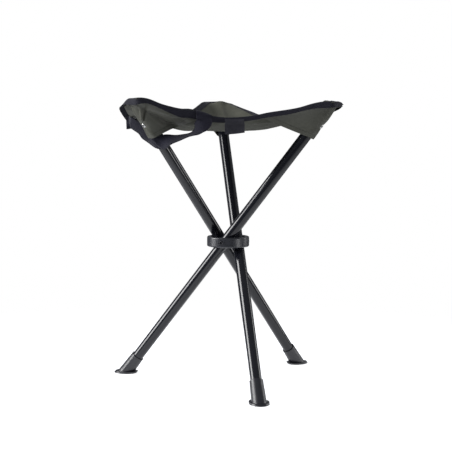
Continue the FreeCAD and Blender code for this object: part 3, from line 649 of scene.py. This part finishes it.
# Folds of the used cloth: start, end, half width, height
CREASES = (
    ((0.030, -0.088), (0.112, -0.082), 0.0040, 0.0022),
    ((0.034, -0.080), (0.104, -0.066), 0.0035, -0.0020),
    ((0.038, -0.074), (0.110, -0.054), 0.0045, 0.0018),
    ((-0.008, 0.194), (0.068, 0.050), 0.0100, 0.0062),
    ((-0.030, 0.172), (-0.020, 0.060), 0.0050, -0.0025),
    ((-0.014, 0.172), (0.000, 0.070), 0.0045, 0.0020),
    ((0.150, -0.066), (0.060, -0.020), 0.0050, -0.0022),
    ((0.148, -0.078), (0.050, -0.045), 0.0060, 0.0018),
    ((-0.135, -0.090), (-0.045, -0.030), 0.0055, -0.0024),
    ((-0.128, -0.100), (-0.050, -0.065), 0.0060, 0.0020),
)
CREASE_CURVE = 0.8

# Unevenness all over: how fine it is, and its height
UNEVENNESS = ((28.0, 0.0012), (70.0, 0.0004))

# Shares of the way over which the folds begin, from the edge and from the tip
FROM_EDGE, FROM_TIP = 0.22, 0.10


def creases(plan):
    """Height that the folds of the used cloth add at a place."""
    total = 0.0
    for start, end, half_width, height in CREASES:
        first = Vector((*start, 0))
        run = Vector((*end, 0)) - first
        along = (plan - first).dot(run) / run.length_squared
        if not 0 < along < 1:
            continue
        beside = (plan - first).cross(run).z / run.length
        total += height * hump(beside, 0, half_width) * math.sin(math.pi * along) ** CREASE_CURVE
    return total + sum(noise.noise(plan * fineness) * height for fineness, height in UNEVENNESS)


def make_kite(leg, heights):
    """The seat cloth's kite for one corner."""

    def hung(u, v):
        plan = seat_plan(leg, u, 2 * v - 1)
        free = smooth(0.0, FROM_EDGE, 1 - abs(2 * v - 1)) * smooth(0.0, FROM_TIP, 1 - u)
        height = heights[leg, round(u * SEAT_CELLS), round(v * SEAT_CELLS)]
        return Vector((plan.x, plan.y, height + creases(plan) * free))

    def place(u, v):
        spot = hung(u, v)
        flat = spot.x, spot.y
        if u < 0.5 / SEAT_CELLS:
            lap = (spot - hung(1 / SEAT_CELLS, v)).normalized() * SEAM_LAP
            spot += lap - UP * SEAM_DIP
        return spot, flat

    name = "seat_cloth_%d" % leg
    return cloth_sheet(name, SEAT_CELLS, SEAT_CELLS, place, SEAT_THICK, SEAT_CLOTH, offset=-1.0)


# A height above the whole stool
ABOVE_ALL = 0.6


def find_cloth_top(kites):
    """A function for the height of the seat cloth's top at a place, None beside the cloth."""
    trees = []
    for kite in kites:
        points = [vertex.co for vertex in kite.data.vertices]
        faces = [tuple(face.vertices) for face in kite.data.polygons]
        trees.append(BVHTree.FromPolygons(points, faces))

    def cloth_top(spot):
        above = Vector((spot.x, spot.y, ABOVE_ALL))
        hits = [tree.ray_cast(above, -UP)[0] for tree in trees]
        return max((hit.z for hit in hits if hit), default=None)

    return cloth_top


# Edge binding: tape folded over the seat's edge, with an outer flap that hangs beside it and
# an inner flap that lies on the cloth

TAPE_WIDTH = 0.0205
TAPE_THICK = 0.0008
TAPE_GAP = 0.0007

# Share of the tape's rows in its inner flap
FOLD_AT = 0.4375

# How far the fold stands over the hem, and the inner flap over the cloth
FOLD_ABOVE, FLAP_ABOVE = 0.0006, 0.0007

# The band's walk round a corner: an edge's half with its bow, the tip, an edge's half
EDGE_RUN = EDGE_LENGTH * 1.02
WALK = 2 * EDGE_RUN + 2 * HALF_CORNER

# Rounding of the walk at the corner's turns, and how far from a turn it fades
ROUNDING, FADE_FROM, FADE_TO = 0.0075, 0.012, 0.03

# Half the step for the walk's direction, and the share at its ends that is square to the edge
HALF_STEP, END_SHARE = 0.002, 0.003

# Least lean outwards over the tube, and half the way that it takes
TUBE_LEAN, OVER_TUBE = -0.12, 0.014

# Waves of the outer flap's lean, and ripples of the tape along and across
WAVE_LEAN, WAVE_FINE, WAVE_AT = 0.08, 34, 3.1
RIPPLE_FINE, RIPPLE_ACROSS, INNER_RIPPLE, OUTER_RIPPLE = 90, 60, 0.0002, 0.0004

# Distances from the fold: where the cloth's slope is read, the inner flap lies on the cloth
# and the outer one has bent down
SLOPE_REACH, DOWN_REACH, BEND_REACH = 0.008, 0.0030, 0.0022

# Width of the outer flap. The tape was folded off its middle, so the flaps' widths vary.
FLAP_WIDTHS = {
    (1, -1): (
        (0, 0.0070), (0.25, 0.0066), (0.5, 0.0072), (0.68, 0.0062),
        (0.82, 0.0082), (0.92, 0.0098), (1, 0.0088),
    ),
    (1, 1): ((0, 0.0145), (0.8, 0.0125), (1, 0.0062)),
    (2, -1): ((0, 0.0145), (0.7, 0.0140), (1, 0.0100)),
    (2, 1): ((0, 0.0110), (1, 0.0100)),
    (3, -1): ((0, 0.0110), (0.8, 0.0115), (1, 0.0098)),
    (3, 1): (
        (0, 0.0070), (0.13, 0.0080), (0.25, 0.0098), (0.36, 0.0125), (0.46, 0.0136), (0.56, 0.0130),
        (0.66, 0.0100), (0.76, 0.0074), (0.88, 0.0070), (1, 0.0098),
    ),
}

# Lean of the outer flap in radians, in under the seat or, below 0, outwards
FLAP_LEANS = {
    (1, -1): ((0, 0.30), (0.5, 0.20), (1, 0.25)),
    (1, 1): ((0, 0.35), (0.8, 0.45), (1, 0.50)),
    (2, -1): ((0, 0.35), (1, 0.30)),
    (2, 1): ((0, 0.35), (1, 0.30)),
    (3, -1): ((0, 0.35), (0.7, 0.20), (0.85, -0.60), (1, -0.90)),
    (3, 1): ((0, 0.30), (0.3, 0.15), (0.55, 0.05), (0.9, -0.05), (1, 0.0)),
}


def edge_walk(leg, run):
    """Point of the edge round one corner, run metres from the first edge's middle."""
    if run <= EDGE_RUN:
        return edge_point(leg, -1, run / EDGE_RUN)
    if run >= WALK - EDGE_RUN:
        return edge_point(leg, 1, (WALK - run) / EDGE_RUN)
    return tip_point(leg, (run - EDGE_RUN) / HALF_CORNER - 1)


def rounded_walk(leg, run):
    """The same walk with the corner's two turns rounded."""
    turn = min(abs(run - EDGE_RUN), abs(WALK - EDGE_RUN - run))
    reach = ROUNDING * (1 - smooth(FADE_FROM, FADE_TO, turn))
    near = [edge_walk(leg, min(WALK, max(0.0, run + reach * k))) for k in (-1, -0.5, 0, 0.5, 1)]
    return (near[0] + near[1] * 2 + near[2] * 2 + near[3] * 2 + near[4]) / 8


@functools.cache
def flap_stand(leg, u):
    """Edge point, level way outwards, width and lean of the outer flap, a share of the way
    along the band."""
    run = u * WALK
    here = rounded_walk(leg, run)
    ahead = rounded_walk(leg, min(WALK, run + HALF_STEP))
    behind = rounded_walk(leg, max(0.0, run - HALF_STEP))
    outward = (ahead - behind).cross(UP).normalized()
    if u < END_SHARE or u > 1 - END_SHARE:
        outward = side_ways(leg, -1 if u < 0.5 else 1)[0]
    share = min(1.0, min(run, WALK - run) / EDGE_RUN)
    turned = smooth(EDGE_RUN, WALK - EDGE_RUN, run)
    width, lean = (
        reading(table[leg, -1], share) * (1 - turned) + reading(table[leg, 1], share) * turned
        for table in (FLAP_WIDTHS, FLAP_LEANS)
    )
    lean += (min(lean, TUBE_LEAN) - lean) * hump(run, WALK / 2, OVER_TUBE)
    return here, outward, width, lean


def inner_flap(here, outward, across, ripple, cloth_top):
    """Point of the flap that lies on the cloth, across metres from the fold, below 0."""
    inner = cloth_top(here - outward * SLOPE_REACH)
    drop = 0.0 if inner is None else (here.z - inner) / SLOPE_REACH
    spot = here + outward * (across / math.hypot(1, drop))
    lying = cloth_top(spot)
    loose = here.z + TAPE_GAP + FOLD_ABOVE
    settled = smooth(0.0, DOWN_REACH, -across) if lying is not None else 0.0
    spot.z = loose + ((lying or loose) + FLAP_ABOVE - loose) * settled + INNER_RIPPLE * ripple
    return spot


def outer_flap(here, outward, across, lean, ripple):
    """Point of the flap that hangs beside the edge, across metres from the fold."""
    down = UP * -math.cos(lean) - outward * math.sin(lean)
    bend = min(1.0, across / BEND_REACH)
    clear = TAPE_GAP * math.sin(math.pi / 2 * bend) + OUTER_RIPPLE * ripple * bend
    return here + outward * clear + down * across + UP * (TAPE_GAP + FOLD_ABOVE) * (1 - bend)


def make_band(leg, cloth_top):
    """The edge binding round one corner."""

    def place(u, v):
        here, outward, width, lean = flap_stand(leg, round(u, 6))
        if v < FOLD_AT:
            across = (v / FOLD_AT - 1) * (TAPE_WIDTH - width)
        else:
            across = (v - FOLD_AT) / (1 - FOLD_AT) * width
        if u in (0.0, 1.0):
            lap = UP.cross(outward) * (SEAM_LAP * (1 if u else -1))
            here = here + lap - (outward + UP) * SEAM_DIP
        wave = noise.noise(Vector((here.x * WAVE_FINE, here.y * WAVE_FINE, WAVE_AT)))
        ripple = noise.noise(
            Vector((here.x * RIPPLE_FINE, here.y * RIPPLE_FINE, across * RIPPLE_ACROSS))
        )
        if across < 0:
            spot = inner_flap(here, outward, across, ripple, cloth_top)
        else:
            spot = outer_flap(here, outward, across, lean + WAVE_LEAN * wave, ripple)
        return spot, (u * WALK, v * TAPE_WIDTH)

    return cloth_sheet("edge_binding_%d" % leg, 150, 16, place, TAPE_THICK, BINDING_TAPE)


# Corner pocket: cloth from both edges round the outer side of the tube

POCKET_THICK = 0.0009

# How far in and below the seat's edge the pocket is sewn on
POCKET_INSET, POCKET_BELOW = 0.0016, 0.0030

# Radius of the wrap round the tube, what it loses towards the corner's end and from where
WRAP_RADIUS, WRAP_TAPER, TAPER_FROM = 0.0128, 0.0022, 0.55

# Share of the pocket's width in each flank beside the wrap
FLANK_SHARE = 0.42

# Share of the way along each edge at which the pocket's mouth meets it
MOUTHS = {(1, -1): 0.27, (1, 1): 0.42, (2, -1): 0.42, (2, 1): 0.42, (3, -1): 0.46, (3, 1): 0.33}

# Reach of the dimple at the rivet, and the room that stays under it
DIMPLE, DIMPLE_ROOM = 0.0075, 0.0004

# Where the rivet's folds begin, are full and die away, what they lose at the corner's end
# and from where, and where they end on a flank
FOLDS_BEGIN, FOLDS_FULL, FOLDS_DIE = 0.0042, 0.018, 0.030
END_LOSS, END_FROM, FLANK_END = 0.7, 0.85, 0.75

# Hollow of a flank, and the right corner's front one with how far its mouth hangs
HOLLOW, RIGHT_HOLLOW, RIGHT_HANG = 0.0030, 0.0012, 0.0015

# The left corner's front flank: its ridge, the distance of that from the edge and its half
# width; the hollow under it, where that ends, and the mouth's hang; its swing to the rear,
# with place, slant, half width and curve; and the room below the seat's cloth
RIDGE, RIDGE_AT, RIDGE_HALF = 0.0030, 0.017, 0.0065
UNDER_HOLLOW, UNDER_FROM, UNDER_TO, LEFT_HANG = 0.0045, 0.3, 0.6, 0.0004
SWING, SWING_AT, SWING_SLANT, SWING_HALF, SWING_CURVE = 0.014, 0.50, 0.10, 0.20, 0.7
BELOW_SEAT = 0.0013

# Height of the mouth's hem fold, and where it ends
HEM_FOLD, HEM_FULL, HEM_END = 0.0002, 0.0060, 0.0080

# Folds that run from the rivet: turn from the tube's line in radians, half width, height
RIVET_FOLDS = {
    1: ((0.5, 0.10, 0.0006), (-0.7, 0.14, -0.0006), (2.4, 0.2, 0.0007)),
    2: ((0.4, 0.10, 0.0012), (0.75, 0.09, -0.0010), (-0.5, 0.10, 0.0012), (-0.8, 0.12, -0.0008)),
    3: (
        (0.42, 0.075, 0.0034), (0.60, 0.055, -0.0030), (0.74, 0.060, 0.0018), (-0.08, 0.07, 0.0016),
        (-0.32, 0.12, -0.0022), (2.75, 0.16, 0.0012), (-2.8, 0.16, 0.0010),
    ),
}


def to_leg(leg, point):
    """A point in the leg's own axes: along the pin, to the outer side, up the tube."""
    pivot, pin, outer, tube = leg_axes(leg)
    away = point - pivot
    return Vector((away.dot(pin), away.dot(outer), away.dot(tube)))


def from_leg(leg, point):
    """The place of a point given in the leg's own axes."""
    pivot, pin, outer, tube = leg_axes(leg)
    return pivot + pin * point.x + outer * point.y + tube * point.z


@functools.cache
def pocket_row(leg, u):
    """One row of the pocket from its mouth, u = 0, to the corner's end: reach up the tube,
    radius of the wrap, and for each side the angle at which it leaves and the edge's point."""
    reach = MOUTH_REACH + (TIP_IN_LEG - MOUTH_REACH) * u
    radius = WRAP_RADIUS - WRAP_TAPER * smooth(TAPER_FROM, 1.0, u)
    sides = {}
    for side in (-1, 1):
        share = MOUTHS[leg, side] + (1 - MOUTHS[leg, side]) * u
        outward = side_ways(leg, side)[0]
        sewn = edge_point(leg, side, share) - outward * POCKET_INSET - UP * POCKET_BELOW
        hem = to_leg(leg, sewn)
        away = math.hypot(hem.x, hem.y)
        lean = math.acos(min(1.0, radius / away))
        turn = math.atan2(hem.y, hem.x)
        if side == pin_side(leg):
            sides[side] = turn + lean, hem
        else:
            sides[side] = turn % (2 * math.pi) - lean, hem
    return reach, radius, sides


def pin_side(leg):
    """The side of the corner that the leg's pin points to."""
    pin = leg_axes(leg)[1]
    return 1 if corner_axes(leg)[1].dot(pin) > 0 else -1


def rivet_folds(leg, u, arc, up):
    """Height of the folds at a place on the flat pattern, measured from the rivet."""
    away = math.hypot(arc, up)
    toward_front = arc * (1 if leg_axes(leg)[1].y > 0 else -1)
    turn = math.atan2(toward_front, up)
    grown = (
        smooth(FOLDS_BEGIN, FOLDS_FULL, away)
        * math.exp(-max(0.0, away - FOLDS_FULL) / FOLDS_DIE)
        * (1 - END_LOSS * smooth(END_FROM, 1.0, u))
    )
    return sum(height * hump(turn, at, half) for at, half, height in RIVET_FOLDS[leg]) * grown


def pocket_point(leg, u, v, cloth_top):
    """Point of the pocket, and its place on the flat pattern."""
    reach, radius, sides = pocket_row(leg, u)
    right, left = pin_side(leg), -pin_side(leg)
    first, last = sides[right][0], sides[left][0]
    slack = 0.0
    if v < FLANK_SHARE or v > 1 - FLANK_SHARE:
        side = right if v < FLANK_SHARE else left
        angle, hem = sides[side]
        share = 1 - v / FLANK_SHARE if v < FLANK_SHARE else 1 - (1 - v) / FLANK_SHARE
        normal = Vector((math.cos(angle), math.sin(angle), 0))
        start = normal * radius + UP * reach
        spot = start.lerp(hem, share)
        slack = math.sin(math.pi * share)
        arc = radius * abs(angle - math.pi / 2) + (hem - start).length * share
        arc *= -1 if side == right else 1
    else:
        share = (v - FLANK_SHARE) / (1 - 2 * FLANK_SHARE)
        angle = first + (last - first) * share
        normal = Vector((math.cos(angle), math.sin(angle), 0))
        spot = normal * radius + UP * reach
        side, share = 0, 0.0
        arc = radius * (angle - math.pi / 2)
    up = spot.z - RIVET_REACH
    dimple = radius - TUBE_RADIUS - DIMPLE_ROOM - POCKET_THICK
    pinned = -dimple * hump(math.hypot(arc, up), 0, DIMPLE)
    folds = rivet_folds(leg, u, arc, up)
    if share > 0:
        folds *= 1 - smooth(FLANK_END, 1.0, share)
    hollow = -HOLLOW * slack * (1 - 0.5 * u)
    if (leg, side) == (3, 1):
        below = (1 - share) * (hem - start).length
        under = UNDER_HOLLOW * (1 - smooth(UNDER_FROM, UNDER_TO, share)) * slack * (1 - u)
        hollow = RIDGE * hump(below, RIDGE_AT, RIDGE_HALF) - under
        spot.z -= LEFT_HANG * slack * (1 - u) ** 2
    if (leg, side) == (1, -1):
        hollow = -RIGHT_HOLLOW * slack
        spot.z -= RIGHT_HANG * slack * (1 - u) ** 2
    hem_fold = HEM_FOLD * (1 - smooth(HEM_FULL, HEM_END, reach - MOUTH_REACH))
    point = from_leg(leg, spot + normal * (folds + pinned + hollow + hem_fold))
    if (leg, side) == (3, 1):
        swing = SWING * hump(share - SWING_AT + SWING_SLANT * u, 0, SWING_HALF)
        point.y += swing * (1 - u) ** SWING_CURVE
        point.z = min(point.z, (cloth_top(point) or 1.0) - SEAT_THICK - BELOW_SEAT)
    return point, (arc, reach - MOUTH_REACH)


def make_pocket(leg, cloth_top):
    """The pocket of one corner."""

    def place(u, v):
        return pocket_point(leg, round(u, 6), v, cloth_top)

    name, flip = "corner_pocket_cloth_%d" % leg, pin_side(leg) == 1
    return cloth_sheet(name, 48, 84, place, POCKET_THICK, POCKET_CLOTH, offset=-1.0, flip=flip)


# Carry strap: webbing sewn to the left corner's rear edge, passed round the front of leg 3's
# tube and up over the front edge

STRAP_WIDTH = 0.025
STRAP_THICK = 0.0016
STRAP_STEPS = 120

# Shares of the front edge at which the strap's end crosses it, and before and after that
OVER_EDGE, BEFORE_OVER, AFTER_OVER = 0.315, 0.25, 0.38

# Places along the strap are counted in stations. Its upper half is gathered behind the
# pocket's rivet, its lower half at the tube: share lost, station, half the way.
GATHERED_ABOVE = (0.48, 3.45, 0.55)
GATHERED_BELOW = (0.18, 5.3, 1.3)

# The crease beside the tube: its station and slant, then its ridge and groove as height,
# stations from there and half the way
CREASE_AT, CREASE_SLANT = 6.1, 1.6
STRAP_RIDGE = (0.0016, 0.28, 0.30)
STRAP_GROOVE = (0.0014, -0.28, 0.26)

# How far the webbing cups across, and the radians of its swing along the strap
STRAP_CUP, CUP_SWING = 0.0007, 9


def strap_stations():
    """Middle points and width directions along the strap."""
    front_out, front_run = side_ways(3, 1)
    over = edge_point(3, 1, OVER_EDGE)
    face = -front_out
    slope = (edge_point(3, 1, BEFORE_OVER) - edge_point(3, 1, AFTER_OVER)).normalized()

    def on_leg(pin, outer, reach):
        return from_leg(3, Vector((pin, outer, reach)))

    tube = leg_axes(3)[3]
    return (
        ((-0.1690, -0.0750, 0.4462), (-0.1, -0.2, 1)),
        ((-0.1625, -0.0780, 0.4450), (-0.2, -0.5, 0.8)),
        ((-0.1550, -0.0795, 0.4413), (-0.28, -0.55, 0.78)),
        ((-0.1412, -0.0785, 0.4316), (-0.27, -0.50, 0.78)),
        (on_leg(0.0120, 0.0088, 0.2260), UP * 0.1 + tube),
        (on_leg(0.0, 0.0118, 0.2235), tube),
        (on_leg(-0.0095, 0.0085, 0.2212), UP * 0.5 + tube),
        ((-0.0935, -0.0970, 0.4170), UP * 0.50 + face * 0.75),
        ((-0.0765, -0.1020, 0.4215), UP * 0.28 + face * 0.95),
        ((-0.0640, -0.1055, 0.4258), UP * 0.17 + face - front_run * 0.05),
        ((-0.0545, -0.1085, 0.4315), UP * 0.12 + face + front_run * 0.35),
        ((-0.0480, -0.1115, 0.4385), face * 0.62 + front_run * 0.78),
        (over + front_out * 0.0070 - UP * 0.0125, face * 0.15 - slope),
        (over + front_out * 0.0042 - UP * 0.0040, -slope),
        (over + front_out * 0.0026 + UP * 0.0008, -slope),
        (over - front_out * 0.0010 + UP * 0.0026, -slope),
        (over - front_out * 0.0095 - UP * 0.0002, -slope),
    )


def spline(points, share):
    """A point on the smooth line through the points, share from 0 to 1."""
    place = share * (len(points) - 1)
    first = min(int(place), len(points) - 2)
    part = place - first
    a = points[max(first - 1, 0)]
    b, c = points[first], points[first + 1]
    d = points[min(first + 2, len(points) - 1)]
    return 0.5 * (
        b * 2
        + (c - a) * part
        + (a * 2 - b * 5 + c * 4 - d) * part**2
        + (b * 3 - a - c * 3 + d) * part**3
    )


def make_carry_strap():
    stations = strap_stations()
    centres = [Vector(spot) for spot, _ in stations]
    widths = [Vector(way).normalized() for _, way in stations]
    steps = [spline(centres, step / STRAP_STEPS) for step in range(STRAP_STEPS + 1)]
    walked = [0.0]
    for before, after in zip(steps, steps[1:]):
        walked.append(walked[-1] + (after - before).length)

    def place(u, v):
        here = spline(centres, u)
        ahead, behind = spline(centres, min(1.0, u + 0.01)), spline(centres, max(0.0, u - 0.01))
        run = (ahead - behind).normalized()
        wide = spline(widths, u)
        wide = (wide - run * wide.dot(run)).normalized()
        station = u * (len(centres) - 1)
        lost, at, half = GATHERED_ABOVE if v > 0.5 else GATHERED_BELOW
        across = (v - 0.5) * STRAP_WIDTH * (1 - lost * hump(station, at, half))
        past = station - CREASE_AT + CREASE_SLANT * v
        ridge, groove = (
            height * hump(past, at, half) for height, at, half in (STRAP_RIDGE, STRAP_GROOVE)
        )
        cup = STRAP_CUP * math.cos(math.pi * (v - 0.5)) * math.sin(CUP_SWING * u)
        spot = here + wide * across + run.cross(wide).normalized() * (cup + (ridge - groove))
        return spot, (walked[round(u * STRAP_STEPS)], v * STRAP_WIDTH)

    name = "carry_strap_webbing"
    return cloth_sheet(name, STRAP_STEPS, 12, place, STRAP_THICK, STRAP_WEBBING)


# Label tab: blank woven tab hanging from the front edge

LABEL_WIDTH = 0.0325
LABEL_LENGTH = 0.0255
LABEL_THICK = 0.0011

# Its top above the plain tab's, and its shift along the edge
LABEL_ABOVE, LABEL_SHIFT = 0.0050, 0.0045

# How far it stands off at its top and where that ends, at its low end, and its waves
STAND_TOP, STAND_FROM, STAND_TO = 0.0036, 0.18, 0.42
STAND_END, LABEL_WAVE = 0.0012, 0.0006

# Share of its width that its sewn top lacks on the right, and how much shorter it hangs there
SEWN_NARROWER, SHORTER_RIGHT = 0.09, 0.0032


def make_label():
    """A folded blank tab, sewn over the front edge's tape and hanging below it."""
    low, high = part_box("label_tab")
    outward = side_ways(3, 1)[0]
    along = UP.cross(outward)
    top = Vector(((low.x + high.x) / 2, (low.y + high.y) / 2, high.z))
    top = top + UP * LABEL_ABOVE - along * LABEL_SHIFT

    def place(u, v):
        down = 1 - v
        stand = (
            STAND_TOP * (1 - smooth(STAND_FROM, STAND_TO, down))
            + STAND_END * smooth(0.5, 1.0, down)
            + LABEL_WAVE * math.sin(5 * u + 3 * v)
        )
        narrow = 1 - SEWN_NARROWER * (1 - smooth(0.2, 0.4, down)) * smooth(0.4, 1.0, u)
        drop = LABEL_LENGTH * down + LABEL_WAVE * math.sin(3 * u) - SHORTER_RIGHT * down * u
        spot = top + along * ((u - 0.5) * LABEL_WIDTH * narrow) + outward * stand - UP * drop
        return spot, (u * LABEL_WIDTH, v * LABEL_LENGTH)

    return cloth_sheet("label_tab_cloth", 34, 30, place, LABEL_THICK, LABEL_CLOTH)


# Build

finish_frame()
heights = hang_cloth()
kites = [make_kite(leg, heights) for leg in LEGS]
cloth_top = find_cloth_top(kites)
bands = [make_band(leg, cloth_top) for leg in LEGS]
pockets = [make_pocket(leg, cloth_top) for leg in LEGS]
strap = make_carry_strap()
label = make_label()


# Carrying

def blend_with_corner(piece, leg):
    """Bakes the piece's place into its mesh."""
    out = corner_axes(leg)[0]
    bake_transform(piece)


for leg, kite, band, pocket in zip(LEGS, kites, bands, pockets):
    blend_with_corner(kite, leg)
    blend_with_corner(band, leg)
    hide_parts("seat_panel")
    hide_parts("edge_binding")
    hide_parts("corner_pocket_%d" % leg)
    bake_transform(pocket)

blend_with_corner(strap, 3)
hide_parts("carry_strap")
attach(label, "hub")
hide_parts("label_tab")


# Studio

def make_floor():
    """A pale floor that lights itself in part, so that shadows on it stay faint. It fades out
    into the backdrop."""
    bpy.ops.mesh.primitive_circle_add(
        vertices=96, radius=2.6, fill_type="NGON", location=(0, 0, -0.0005)
    )
    floor = bpy.context.object
    floor.name = "studio_floor"
    material, tree, shader, place = new_material("pale_floor", "Object")
    away = add(tree, "VectorMath", operation="LENGTH", Vector=place)
    fade = add(tree, "MapRange", interpolation_type="SMOOTHSTEP", Value=away.outputs["Value"])
    fix(fade, From_Min=0.30, From_Max=0.85, To_Min=1.0, To_Max=0.0)
    fix(shader, Alpha=fade.outputs["Result"])
    fix(shader, Base_Color=(0.60, 0.62, 0.66, 1), Roughness=0.6, Specular_IOR_Level=0.1)
    fix(shader, Emission_Color=(1, 1, 1, 1), Emission_Strength=0.80)
    floor.data.materials.append(material)


def make_backdrop():
    """A white dome that only the camera sees."""
    bpy.ops.mesh.primitive_uv_sphere_add(segments=48, ring_count=24, radius=12)
    dome = bpy.context.object
    dome.name = "studio_backdrop"
    material = bpy.data.materials.new("white_backdrop")
    material.use_nodes = True
    tree = material.node_tree
    tree.nodes.clear()
    glow = add(tree, "Emission", Strength=1.0, Color=(1, 1, 1, 1))
    add(tree, "OutputMaterial", Surface=glow.outputs[0])
    dome.data.materials.append(material)
    for rays in ("diffuse", "glossy", "transmission", "volume_scatter", "shadow"):
        setattr(dome, "visible_" + rays, False)


# Lamps: name, place, aim, width, height, power, and True where they light matt surfaces or
# False where they only show in glossy ones
LAMPS = (
    ("overhead", (-0.5, 0.0, 2.4), (0, 0, 0), 2.0, 2.0, 22, True),
    ("left_key", (-2.0, -0.75, 0.95), (0, 0, 0.40), 0.6, 0.7, 66, True),
    ("front_fill", (-0.8, -2.6, 1.0), (0, 0, 0.40), 1.2, 1.0, 4, True),
    ("right_fill", (1.9, -0.8, 0.6), (0.1, 0, 0.42), 0.8, 0.8, 14, True),
    ("left_strip", (-1.95, -0.17, 1.00), (0, 0, 0.30), 0.85, 1.9, 70, False),
    ("right_strip", (1.85, 0.60, 0.60), (0, 0, 0.28), 0.60, 1.1, 9, False),
    ("low_right_glow", (1.30, -0.85, 0.15), (0, 0, 0.25), 0.50, 0.40, 4, False),
)


def soft_box(name, place, aim, width, height, power, matt):
    """A rectangular lamp."""
    bpy.ops.object.light_add(type="AREA", location=place)
    lamp = bpy.context.object
    lamp.name = name
    lamp.data.shape = "RECTANGLE"
    lamp.data.size = width
    lamp.data.size_y = height
    lamp.data.energy = power
    lamp.visible_diffuse = matt
    lamp.visible_glossy = not matt
    lamp.visible_camera = False
    lamp.rotation_euler = (Vector(aim) - Vector(place)).to_track_quat("-Z", "Y").to_euler()


def light_studio():
    """Soft light from all round, weaker from below, and the lamps."""
    world = bpy.data.worlds.new("studio")
    world.use_nodes = True
    tree = world.node_tree
    ground = tree.nodes["Background"]
    fix(ground, Color=(0.92, 0.95, 1.0, 1))
    way = add(tree, "SeparateXYZ")
    rise = add(tree, "MapRange", From_Min=-0.4, From_Max=0.5, To_Min=0.09, To_Max=0.32)
    fix(way, Vector=add(tree, "TexCoord").outputs["Generated"])
    fix(rise, Value=way.outputs["Z"])
    fix(ground, Strength=rise.outputs["Result"])
    bpy.context.scene.world = world
    for lamp in LAMPS:
        soft_box(*lamp)


# Focal length and width of the photograph in its pixels
FOCAL_PIXELS = 1152.3
PHOTO_PIXELS = 452
SENSOR_WIDTH = 36


def aim_camera():
    """The photograph's viewpoint: nearly level with the seat, two metres in front."""
    pitch, yaw, roll = math.radians(5.185), math.radians(-0.11), math.radians(0.35)
    right = Vector((math.cos(yaw), -math.sin(yaw), 0))
    ahead = Vector(
        (math.sin(yaw) * math.cos(pitch), math.cos(yaw) * math.cos(pitch), -math.sin(pitch))
    )
    over = right.cross(ahead)
    turned = right * math.cos(roll) + over * math.sin(roll)
    over = turned.cross(ahead)
    bpy.ops.object.camera_add(location=(0, -1.9838, 0.4477))
    camera = bpy.context.object
    camera.name = "photo_camera"
    camera.rotation_euler = Matrix((turned, over, -ahead)).transposed().to_euler()
    camera.data.sensor_width = SENSOR_WIDTH
    camera.data.lens = SENSOR_WIDTH * FOCAL_PIXELS / PHOTO_PIXELS
    bpy.context.scene.camera = camera


make_floor()
make_backdrop()
light_studio()
aim_camera()
bpy.context.scene.view_settings.view_transform = "Standard"
